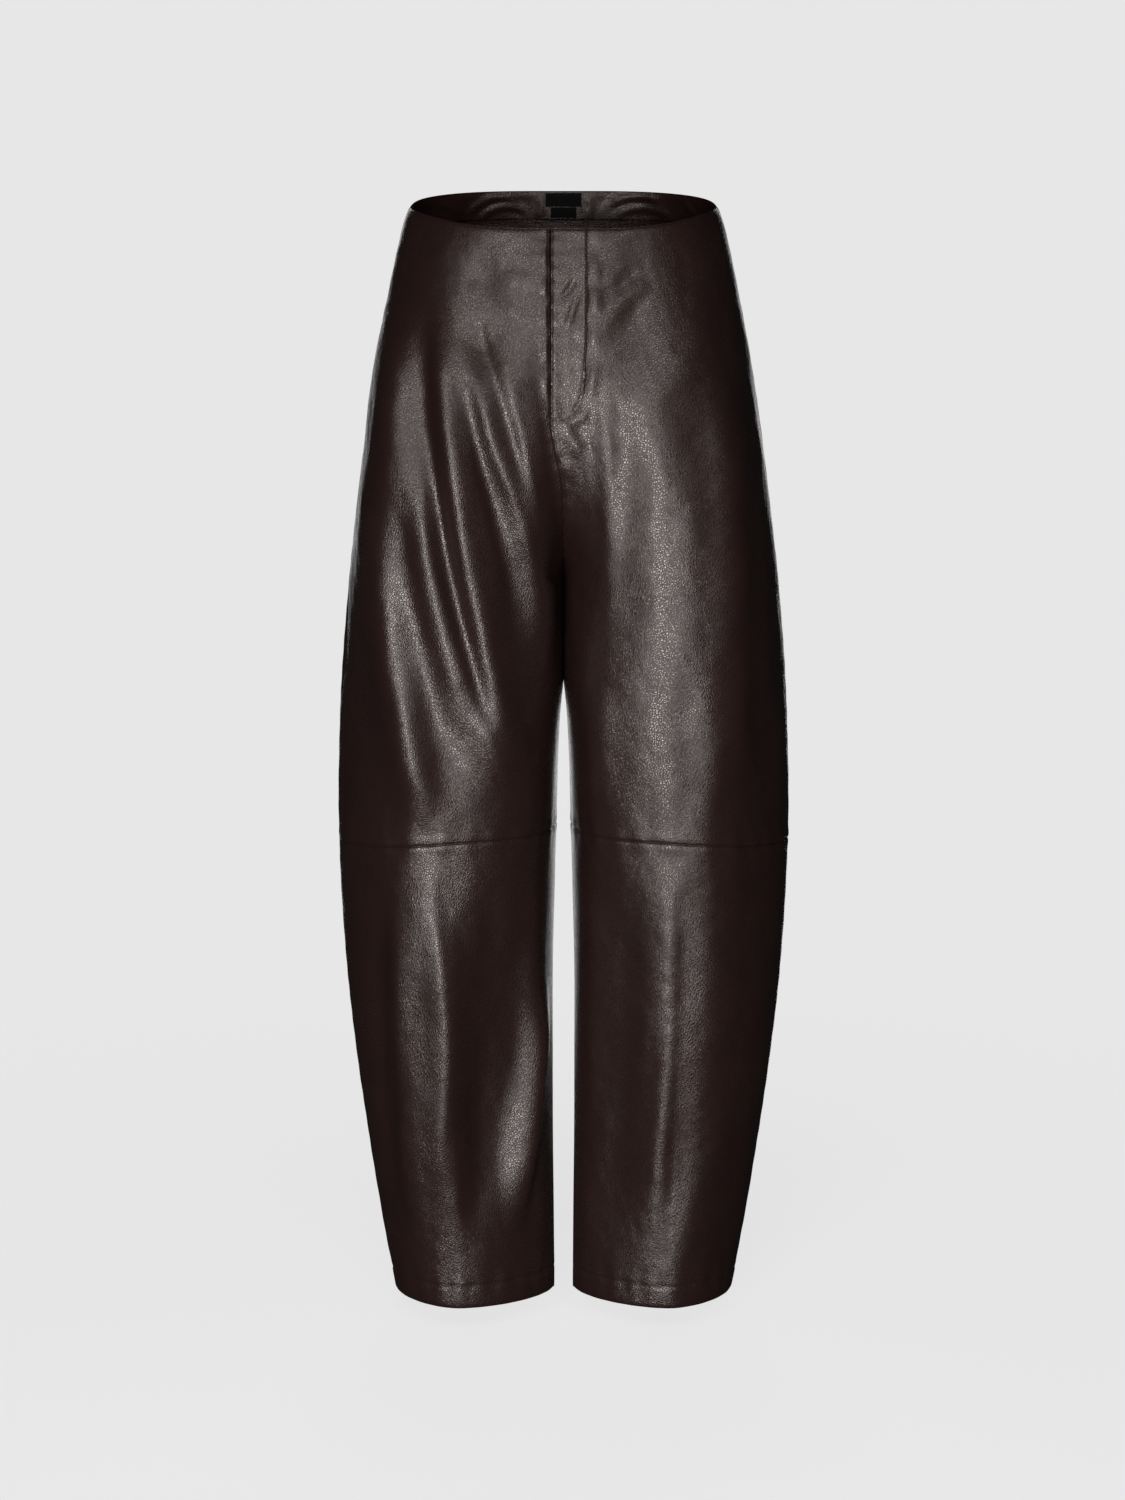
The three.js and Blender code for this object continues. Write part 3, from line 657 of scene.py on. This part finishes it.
J_LINE = smooth_path([(20, 4), (20.3, -40), (20.2, -80), (20, -112), (19.2, -135), (17.5, -155),
                      (14.5, -170), (9.5, -180), (3, -184.5), (-4, -186), (-11, -186.3)])
J_GROOVE = 0.7
J_GROOVE_WIDTH = 0.65


def stitched_j(along, z):
    """The J draws the cloth in. Beside it the lap is full on one side, and the front puckers on the other."""
    near, off, _ = along_path(along, z, J_LINE, 30)
    lift = np.zeros(len(z))
    drift = 1 + 0.5 * np.sin(z[near] / 6.1 + 1.2) + 0.4 * np.sin(z[near] / 14.7)
    outside = 1.1 * drift * np.exp(-((off - 8) / 6) ** 2) * smooth(off, 0, 3)
    inside = 0.15 * np.exp(-((off + 4) / 3) ** 2)
    lift[near] = outside + inside - J_GROOVE * np.exp(-(off / J_GROOVE_WIDTH) ** 2)
    return lift


def level(value):
    return lambda u: np.full(len(u), float(value))


fly_stops = np.concatenate([stops(0, 28, 1.3, fine_end=False), stops(28, 36, 0.55, False, False)[1:],
                            stops(36, 50, 1.3, False, False)[1:], stops(50, 240, GRID, fine_start=False)[1:]])
PANELS = [
    ("left_front", FRONT, LEFT, fly_stops, level(0), knee_level, 2.2),
    ("right_front", FRONT, RIGHT, stops(0, 240, GRID), level(0), knee_level, GRID),
    ("left_shin", FRONT, LEFT, stops(0, 230, GRID), knee_level, level(-LENGTH), 3.2),
    ("right_shin", FRONT, RIGHT, stops(0, 230, GRID), knee_level, level(-LENGTH), 3.2),
    ("left_back", BACK, LEFT, stops(0, 250, 3.0), level(0), level(-LENGTH), 1.9),
    ("right_back", BACK, RIGHT, stops(0, 250, 3.0), level(0), level(-LENGTH), 1.9),
]
panels = {name: lay_panel(name, *rest) for name, *rest in PANELS}
for name, panel in panels.items():
    print(name, len(panel.data.polygons), "faces")

# %% [markdown]
# ## Facings, shield and zip tape
#
# The waist is finished from inside by a strip of the same cloth, sewn in along the rim only. Its lower edge
# is free, so it waves, and it carries soft wrinkles where the waist bends. The lap of the fly has its own
# facing behind the J. A shield lies behind the zip, and the zip's tape between the two.

# %% Lining maker
FLY_BOTTOM = -182
CURVE_TOP = 135
BEHIND_SHELL = LEATHER + SEAM_GAP
ZIP_TAPE = 0.5
LABEL = 0.5
ZIP_WALL = 1.8
SLIDER_WALL = 1.5


def lay_lining(name, face, top, bottom, spacing, start, end, across, depth, thickness, lift):
    """A thin piece inside the shell, from its outer side. Its ends are numbers or functions of the level."""
    levels = np.linspace(top, bottom, max(3, round((top - bottom) / spacing)))
    points = np.zeros((len(levels), across, 3))
    pattern = np.zeros((len(levels), across, 2))
    for number, height in enumerate(levels):
        z = np.full(across, float(height))
        low, high = (edge(z[:1]) if callable(edge) else z[:1] * 0 + edge for edge in (start, end))
        along = np.linspace(low, high, across, axis=1)[0]
        split = lap_edge(z) if face is FRONT else np.zeros(across)
        for side in (LEFT, RIGHT):
            here = (along >= split) if side == LEFT else (along < split)
            if here.any():
                outer, normal, _ = shell_points(face, side, z[here], side * along[here], seams=False)
                inset = depth(along[here], z[here])
                if lift is not None:
                    inset = inset + lift(along[here], z[here])
                points[number, here] = outer - normal * inset[:, None]
        pattern[number] = np.stack([along, z], axis=1)
    order = (slice(None, None, -1), slice(None, None, -1)) if face is BACK else (slice(None, None, -1),)
    return lay_sheet(name, points[order], pattern[order], thickness)


def side_end(z, face):
    return outline(z, face)[2][:, -1] - 2 * LEATHER - SEAM_GAP


FACING_WRINKLES = [(height, west, east, 0.6, smooth_path(points)) for height, west, east, points in [
    (1.7, 4, 7, [(-96, -24), (-82, -12), (-62, -6), (-40, -10)]),
    (1.4, 4, 6, [(-84, -26), (-66, -16), (-46, -15), (-30, -24)]),
    (1.2, 5, 5, [(-132, -6), (-112, -14), (-98, -26)]),
    (1.5, 5, 7, [(34, -22), (52, -9), (80, -5), (104, -14)]),
    (1.3, 4, 6, [(44, -26), (64, -17), (88, -16), (112, -25)]),
    (1.2, 5, 5, [(122, -4), (134, -14), (150, -24)]),
    (0.9, 5, 5, [(-24, -4), (-21, -14), (-26, -26)]),
    (0.9, 5, 5, [(22, -3), (26, -14), (22, -26)]),
]]


def facing_waves(along, z):
    """The free lower edge of a facing waves inwards, and wrinkles arch across it."""
    free = smooth(-z, 2, FACING_DEPTH)
    wave = 1.5 + 1.2 * np.sin(along / 23 + 0.6) + 0.7 * np.sin(along / 9.3 + 2)
    lift = sum(fold_height(along, z, wrinkle) for wrinkle in FACING_WRINKLES)
    return free * np.maximum(wave, 0) + smooth(-z, 1, 5) * np.maximum(0.8 + lift, 0)


def facing_depth(along, z):
    return np.full(len(z), BEHIND_SHELL)


def zip_depth(along, z):
    return BEHIND_SHELL + smooth(along, -20, -12.5) * (FACING + SEAM_GAP)


def shield_depth(along, z):
    behind_slider = zip_depth(along * 0, z) + ZIP_WALL + SEAM_GAP + SLIDER_WALL
    return mix(BEHIND_SHELL + ZIP_TAPE, behind_slider, smooth(along, -24, -12)) + SEAM_GAP


def label_depth(along, z):
    return BEHIND_SHELL + FACING + SEAM_GAP + np.maximum(facing_waves(along, z), 0)


def lap_end(z):
    curve = np.sqrt(1 - smooth(-z, CURVE_TOP, -FLY_BOTTOM) ** 2)
    return mix(LAP_EDGE + 3, J_REACH, curve)


def back_end(z):
    return side_end(z, BACK)


def front_end(z):
    return side_end(z, FRONT)


# %% Lay the linings: name, face, top, bottom, rows' spacing, two ends, columns, depth, wall, lift
LININGS = [
    ("back_facing", BACK, -0.9, -FACING_DEPTH, 1.5, lambda z: -back_end(z), back_end, 190,
     facing_depth, FACING, facing_waves),
    ("right_facing", FRONT, -0.9, -FACING_DEPTH, 1.5, lambda z: -front_end(z), -25.3, 70,
     facing_depth, FACING, facing_waves),
    ("left_facing", FRONT, -0.9, -FACING_DEPTH, 1.5, J_REACH + SEAM_GAP, front_end, 70,
     facing_depth, FACING, facing_waves),
    ("lap_facing", FRONT, -1, FLY_BOTTOM, 3, LAP_EDGE + 0.5, lap_end, 12, facing_depth, FACING, None),
    ("zip_tape", FRONT, -14, -178, 3, -24, 5, 20, zip_depth, ZIP_TAPE, None),
    ("zip_shield", FRONT, -1, -184, 3, -25, 14, 22, shield_depth, FACING, None),
    ("satin_label", BACK, -2, -14.5, 1, -17, 17, 26, label_depth, LABEL, None),
    ("satin_size_label", BACK, -15, -24, 1, -12, 12, 18, label_depth, LABEL, None),
]
linings = {name: lay_lining(name, *rest) for name, *rest in LININGS}
for name, lining in linings.items():
    print(name, len(lining.data.polygons), "faces")

# %% [markdown]
# ## Thread
#
# Topstitching is what makes a seam read as sewn. One stitch is modelled: a short, flattened bead of thread,
# whose ends dip into the cloth. It is then copied along each line of stitching at the real stitch length,
# lying on the cloth, and each line becomes one mesh.

# %% One stitch
STITCH_LENGTH = 3.3
THREAD = 0.62
deselect()
bpy.ops.mesh.primitive_uv_sphere_add(segments=8, ring_count=6, radius=0.5)
bead = bpy.context.object
bpy.ops.object.mode_set(mode="EDIT")
bpy.ops.mesh.select_all(action="SELECT")
bpy.ops.transform.rotate(value=math.pi / 2, orient_axis="Y", center_override=(0, 0, 0))
bpy.ops.transform.resize(value=(STITCH_LENGTH * 0.8, THREAD, THREAD * 0.75))
bpy.ops.object.mode_set(mode="OBJECT")
bead_points = np.array([vertex.co for vertex in bead.data.vertices])
bead_faces = [list(face.vertices) for face in bead.data.polygons]
bpy.data.objects.remove(bead)


def sew(name, line, directions, proud=0.1):
    """Copies the stitch along a line of points in millimetres, and joins the copies in one mesh."""
    steps = np.linalg.norm(np.diff(line, axis=0), axis=1)
    travelled = np.concatenate([[0], np.cumsum(steps)])
    places = np.arange(STITCH_LENGTH / 2, travelled[-1], STITCH_LENGTH)
    vertices, faces = [], []
    for place in places:
        spot, ahead, up = (np.array([np.interp(value, travelled, source[:, axis]) for axis in range(3)])
                           for value, source in ((place, line), (place + 0.5, line), (place, directions)))
        forward = ahead - spot
        forward /= np.linalg.norm(forward)
        across = np.cross(up, forward)
        across /= np.linalg.norm(across)
        turned = np.stack([forward, across, np.cross(forward, across)])
        faces += [[index + len(vertices) * len(bead_points) for index in face] for face in bead_faces]
        vertices.append(spot + up * proud + bead_points @ turned)
    mesh = bpy.data.meshes.new(name)
    mesh.from_pydata((np.concatenate(vertices) * MM).tolist(), [], faces)
    thread = bpy.data.objects.new(name, mesh)
    bpy.context.scene.collection.objects.link(thread)
    activate(thread)
    bpy.ops.object.mode_set(mode="EDIT")
    bpy.ops.mesh.select_all(action="SELECT")
    bpy.ops.mesh.normals_make_consistent(inside=False)
    bpy.ops.object.mode_set(mode="OBJECT")
    bpy.ops.object.shade_smooth()
    return thread


# %% [markdown]
# ## Lines of stitching
#
# The J runs down the lap beside the zip and curves in to the slit, where a short bar of stitches closes the
# fly. The hems are stitched once round, on the fronts and the backs alike.

# %% Stitch the fly and the hems
BAR_LINE = smooth_path([(-13, -188.6), (-6, -188.3), (-1, -188)])


def on_shell(face, side, line, sunk=0.0):
    outer, normal, _ = shell_points(face, side, line[:, 1].astype(float), side * line[:, 0], seams=False)
    return outer - normal * sunk, normal


def hem_points(face, side):
    count = 120
    z = np.full(count, float(HEM_LINE))
    _, low, high = ends(face, side, z)
    reach = np.linspace(low[0] + 2, high[0] - 2, count)
    outer, normal, _ = shell_points(face, side, z, reach, seams=False)
    return outer + normal * (pucker(0.0, reach * side, *HEM_PUCKER) - HEM_GROOVE)[:, None], normal


threads = {"fly_stitching": sew("fly_stitching", *on_shell(FRONT, LEFT, J_LINE[J_LINE[:, 1] < -3], 0.6)),
           "fly_bar_stitching": sew("fly_bar_stitching", *on_shell(FRONT, LEFT, BAR_LINE, 0.0))}
for part, face, side in (("left_front", FRONT, LEFT), ("right_front", FRONT, RIGHT),
                         ("left_back", BACK, LEFT), ("right_back", BACK, RIGHT)):
    name = part + "_hem_stitching"
    threads[name] = sew(name, *hem_points(face, side))
print({name: len(thread.data.polygons) for name, thread in threads.items()})

# %% [markdown]
# ## Colour and node helpers
#
# Colours are written as sRGB hex values, as a colour picker shows them, and one function turns them into the
# linear values that shaders use. One function adds any node, with its settings and what feeds it.

# %% Helpers for materials
def colour(code):
    channels = [int(code[start:start + 2], 16) / 255 for start in (1, 3, 5)]
    return (*[c / 12.92 if c <= 0.04045 else ((c + 0.055) / 1.055) ** 2.4 for c in channels], 1)


def add(tree, kind, inputs=None, **settings):
    node = tree.nodes.new(kind)
    for name, value in settings.items():
        setattr(node, name, value)
    for socket, value in (inputs or {}).items():
        if isinstance(value, bpy.types.NodeSocket):
            tree.links.new(value, node.inputs[socket])
        else:
            node.inputs[socket].default_value = value
    return node


def new_material(name):
    material = bpy.data.materials.new(name)
    material.use_nodes = True
    material.node_tree.nodes.clear()
    return material, material.node_tree


def size_scale(millimetres):
    """Scale of a pattern on metres whose features are this large."""
    return 1000 / millimetres


def noise(tree, place, size, detail, **more):
    """Noise whose features are this many millimetres large."""
    inputs = {"Vector": place, "Scale": size_scale(size), "Detail": detail, **more}
    return add(tree, "ShaderNodeTexNoise", inputs)


def relief(tree, height, strength, distance):
    inputs = {"Height": height, "Strength": strength, "Distance": distance}
    return add(tree, "ShaderNodeBump", inputs).outputs["Normal"]


def two_tones(tree, share, code, darker, ends=(0, 1)):
    """The colour, and a darker one where the share is low."""
    tone = add(tree, "ShaderNodeValToRGB", {"Fac": share})
    for point, place, strength in zip(tone.color_ramp.elements, ends, (darker, 1)):
        point.position = place
        point.color = (*(strength * c for c in colour(code)[:3]), 1)
    return tone.outputs["Color"]


def surface(material, inputs):
    """Ends a material with a principled shader."""
    tree = material.node_tree
    shader = add(tree, "ShaderNodeBsdfPrincipled", inputs)
    add(tree, "ShaderNodeOutputMaterial", {"Surface": shader.outputs["BSDF"]})
    return material


# %% [markdown]
# ## Coated leather cloth
#
# The cloth is a polyurethane coating, embossed with a fine grain, on a woven backing: soft, dark espresso
# brown and half glossy. The grain is under a millimetre on the real cloth. It is drawn at two millimetres
# here, because a finer one would vanish in the render, over a shallow crinkle of six. Together they break
# every highlight into specks, and the coating is a little smoother and darker in some places than in others.

# %% Leather material
WARP = 9
WARPING = 0.0016
GRAIN = 2.0
PORES = 1.7
CRINKLE = 6
PATCHES = 60
BUMP = 0.00011


def leather_material(name, code, roughness):
    material, tree = new_material(name)
    place = add(tree, "ShaderNodeTexCoord").outputs["Object"]
    warp = noise(tree, place, WARP, 3.0)
    bent = add(tree, "ShaderNodeVectorMath", {0: warp.outputs["Color"], 1: (WARPING, WARPING, WARPING)},
               operation="MULTIPLY")
    where = add(tree, "ShaderNodeVectorMath", {0: place, 1: bent.outputs["Vector"]},
                operation="ADD").outputs["Vector"]
    cells = add(tree, "ShaderNodeTexVoronoi", {"Vector": where, "Scale": size_scale(GRAIN)},
                feature="DISTANCE_TO_EDGE")
    pores = noise(tree, where, PORES, 1.0, Roughness=0.5)
    lines = add(tree, "ShaderNodeMapRange", {"Value": cells.outputs["Distance"], "From Max": 0.22})
    crinkle = noise(tree, where, CRINKLE, 2.0, Roughness=0.5)
    fine = add(tree, "ShaderNodeMath", {0: lines.outputs["Result"], 1: pores.outputs["Fac"]}, operation="ADD")
    height = add(tree, "ShaderNodeMath", {0: crinkle.outputs["Fac"], 1: 1.0, 2: fine.outputs["Value"]},
                 operation="MULTIPLY_ADD")
    patches = noise(tree, place, PATCHES, 4.0).outputs["Fac"]
    speck = add(tree, "ShaderNodeMath", {0: patches, 1: fine.outputs["Value"]}, operation="ADD")
    rough = add(tree, "ShaderNodeMapRange",
                {"Value": speck.outputs["Value"], "From Min": 1.1, "From Max": 2.1,
                 "To Min": roughness + 0.14, "To Max": roughness - 0.08})
    return surface(material, {
        "Base Color": two_tones(tree, patches, code, 0.78, (0.35, 0.65)),
        "Roughness": rough.outputs["Result"], "IOR": 1.5, "Specular IOR Level": 0.5,
        "Specular Tint": colour("#fff5f1"), "Normal": relief(tree, height.outputs["Value"], 1.0, BUMP)})


leather = leather_material("coated_leather_cloth", "#251715", 0.29)
facing_leather = leather_material("coated_leather_facing", "#2c1b19", 0.30)

# %% [markdown]
# ## Backing, satin, tape and metal
#
# The wrong side of the cloth is a dull woven backing. The labels are black satin with fine ribs, which
# shines very little in there. The zip has a twill tape and a dark oxidised slider. The thread is corespun
# polyester in the cloth's colour, with its twist.

# %% The other materials
def woven_material(name, code, roughness, rib, depth, shine=0.3, turn=0.0):
    material, tree = new_material(name)
    place = add(tree, "ShaderNodeUVMap", uv_map="UVMap").outputs["UV"]
    laid = add(tree, "ShaderNodeMapping", {"Vector": place, "Rotation": (0, 0, turn)}).outputs["Vector"]
    ribs = add(tree, "ShaderNodeTexWave", {"Vector": laid, "Scale": size_scale(rib) / 20, "Distortion": 0.4,
                                           "Detail": 1.0}, bands_direction="Y")
    slubs = noise(tree, laid, 4, 3.0)
    return surface(material, {
        "Base Color": two_tones(tree, slubs.outputs["Fac"], code, 0.7), "Roughness": roughness, "IOR": 1.5,
        "Specular IOR Level": shine, "Normal": relief(tree, ribs.outputs["Fac"], 0.6, depth * MM)})


def metal_material(name, code, roughness):
    material, tree = new_material(name)
    place = add(tree, "ShaderNodeTexCoord").outputs["Object"]
    wear = noise(tree, place, 2, 4.0)
    rough = add(tree, "ShaderNodeMapRange", {"Value": wear.outputs["Fac"], "To Min": roughness - 0.1,
                                             "To Max": roughness + 0.15})
    return surface(material, {
        "Base Color": colour(code), "Metallic": 1.0, "Roughness": rough.outputs["Result"]})


def thread_material(name, code):
    material, tree = new_material(name)
    place = add(tree, "ShaderNodeTexCoord").outputs["Object"]
    twist = add(tree, "ShaderNodeTexWave", {"Vector": place, "Scale": size_scale(0.9) / 20},
                bands_direction="DIAGONAL")
    return surface(material, {
        "Base Color": colour(code), "Roughness": 0.55,
        "Normal": relief(tree, twist.outputs["Fac"], 0.5, 0.0001)})


backing = woven_material("woven_backing", "#241d1c", 0.85, 0.9, 0.08)
satin = woven_material("black_satin", "#0b090a", 0.7, 0.7, 0.04, shine=0.08)
tape = woven_material("zip_tape_twill", "#0c0a0b", 0.9, 0.8, 0.1, shine=0.1, turn=0.7)
shield_cloth = woven_material("shield_backing", "#0e0b0b", 0.9, 0.9, 0.08, shine=0.1)
metal = metal_material("oxidised_zip_metal", "#3a383a", 0.32)
thread = thread_material("dark_polyester_thread", "#1b1413")

# %% [markdown]
# ## Who wears what, and what stands for what
#
# Every piece gets its materials, rides on the one body, and replaces the solid that it dresses. A sheet's
# area is also printed beside the area that it was cut from. That is the panel laid flat, with what its folds
# take up.

# %% Finish the pieces: what each stands for, flat size and area
CUTS = {
    "back_facing": ("facing_back", (0.400, 0.026), None),
    "right_facing": ("facing_front_right", (0.165, 0.026), None),
    "left_facing": ("facing_front_left", (0.170, 0.026), None),
    "lap_facing": ("fly_lap", (0.032, 0.185), None),
    "zip_shield": ("fly_shield", (0.040, 0.185), None),
    "zip_tape": ("zip", (0.030, 0.165), None),
    "satin_label": ("label", (0.034, 0.0125), None),
    "satin_size_label": ("size_label", (0.024, 0.010), None),
}
FINISH = {"zip_shield": (shield_cloth, "facing_leather"), "zip_tape": (tape, "zip_tape"),
          "satin_label": (satin, "label_satin"), "satin_size_label": (satin, "label_satin")}
for name in ("back_facing", "right_facing", "left_facing", "lap_facing"):
    FINISH[name] = (facing_leather, "facing_leather")
for side in ("right", "left"):
    CUTS[side + "_front"] = (f"front_{side}_upper", (0.330, 0.592), 0.174)
    CUTS[side + "_shin"] = (f"front_{side}_lower", (0.320, 0.450), 0.127)
    CUTS[side + "_back"] = (f"back_{side}", (0.350, 1.050), 0.297)


def one_side_area(piece):
    """Half of a closed sheet's surface, in square metres."""
    return sum(polygon.area for polygon in piece.data.polygons) / 2


for name, piece in {**panels, **linings}.items():
    finish, slot_name = FINISH.get(name, (leather, "leather"))
    piece.data.materials.append(finish)
    piece.data.materials.append(backing if finish is leather else finish)
    node, flat, area = CUTS[name]
    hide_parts(node)
    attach(piece, "root")
    print(name, "has", round(one_side_area(piece), 4), "square metres, cut from", area or flat[0] * flat[1])
for name, piece in threads.items():
    piece.data.materials.append(thread)
    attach(piece, "root")
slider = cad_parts["zip_slider"]
slider.data.materials.clear()
slider.data.materials.append(metal)

# %% [markdown]
# ## Studio
#
# A plain pale floor lies under the hems and fades into the pale surround, so the picture has no horizon. The
# surround lights the leather only a little. The key is a tall softbox that stands low, to the left of the
# camera, where the thighs and shins mirror it. A wide strip, hung higher in front, lights the waist and the
# inside of the back, and a large softbox behind shows the back.

# %% World and floor
SURROUND = "#e7e7e7"
GLOW = 0.02
FLOOR_BELOW = 0.03
FLOOR_RADIUS = 1.6
FLOOR_PAINT = "#8c8c8c"
FLOOR_GLOW = 0.9
world = bpy.data.worlds.new("studio")
bpy.context.scene.world = world
world.use_nodes = True
tree = world.node_tree
tree.nodes.clear()
seen = add(tree, "ShaderNodeBackground", {"Color": colour(SURROUND), "Strength": 1.0})
lit = add(tree, "ShaderNodeBackground", {"Color": colour(SURROUND), "Strength": GLOW})
ray = add(tree, "ShaderNodeLightPath").outputs["Is Camera Ray"]
both = add(tree, "ShaderNodeMixShader", {0: ray, 1: lit.outputs[0], 2: seen.outputs[0]})
add(tree, "ShaderNodeOutputWorld", {"Surface": both.outputs[0]})

deselect()
bpy.ops.mesh.primitive_circle_add(vertices=96, radius=FLOOR_RADIUS, fill_type="NGON",
                                  location=(0, 0, -LENGTH * MM - FLOOR_BELOW))
floor = bpy.context.object
floor.name = "pale_floor"
floor.visible_glossy = floor.visible_diffuse = floor.visible_shadow = False
floor_material, tree = new_material("pale_floor_paint")
place = add(tree, "ShaderNodeTexCoord").outputs["Object"]
distance = add(tree, "ShaderNodeVectorMath", {0: place}, operation="LENGTH").outputs["Value"]
fade = add(tree, "ShaderNodeMapRange", {"Value": distance, "From Min": 0.35, "From Max": FLOOR_RADIUS * 0.9},
           interpolation_type="SMOOTHSTEP").outputs["Result"]
paint = add(tree, "ShaderNodeBsdfDiffuse", {"Color": colour(FLOOR_PAINT)})
glow = add(tree, "ShaderNodeEmission", {"Color": colour(SURROUND), "Strength": FLOOR_GLOW})
body = add(tree, "ShaderNodeAddShader", {0: paint.outputs[0], 1: glow.outputs[0]})
clear = add(tree, "ShaderNodeBsdfTransparent")
shown = add(tree, "ShaderNodeMixShader", {0: fade, 1: body.outputs[0], 2: clear.outputs[0]})
add(tree, "ShaderNodeOutputMaterial", {"Surface": shown.outputs[0]})
floor.data.materials.append(floor_material)

# %% [markdown]
# ### The lamps
#
# Each lamp is a rectangular softbox, turned to face the part that it lights.

# %% Lights
AIM = (0.0, 0.0, -0.5)


def soft_light(name, place, size, power, aim=AIM):
    away = np.array(place) - np.array(aim)
    turn = math.atan2(away[0], -away[1])
    drop = math.atan2(away[2], math.hypot(away[0], away[1]))
    deselect()
    bpy.ops.object.light_add(type="AREA", location=place, rotation=(math.pi / 2 - drop, 0, turn))
    light = bpy.context.object
    light.name = name
    light.data.shape = "RECTANGLE"
    light.data.size, light.data.size_y = size
    light.data.energy = power
    light.visible_camera = False
    return light


soft_light("key_softbox", (-0.62, -3.0, -0.92), (1.0, 1.7), 92)
soft_light("waist_softbox", (0.0, -2.5, 0.72), (2.4, 0.6), 26, aim=(0, 0.1, 0))
soft_light("back_softbox", (0.0, 2.8, -0.4), (2.0, 2.4), 30)
bpy.context.scene.view_settings.view_transform = "Standard"
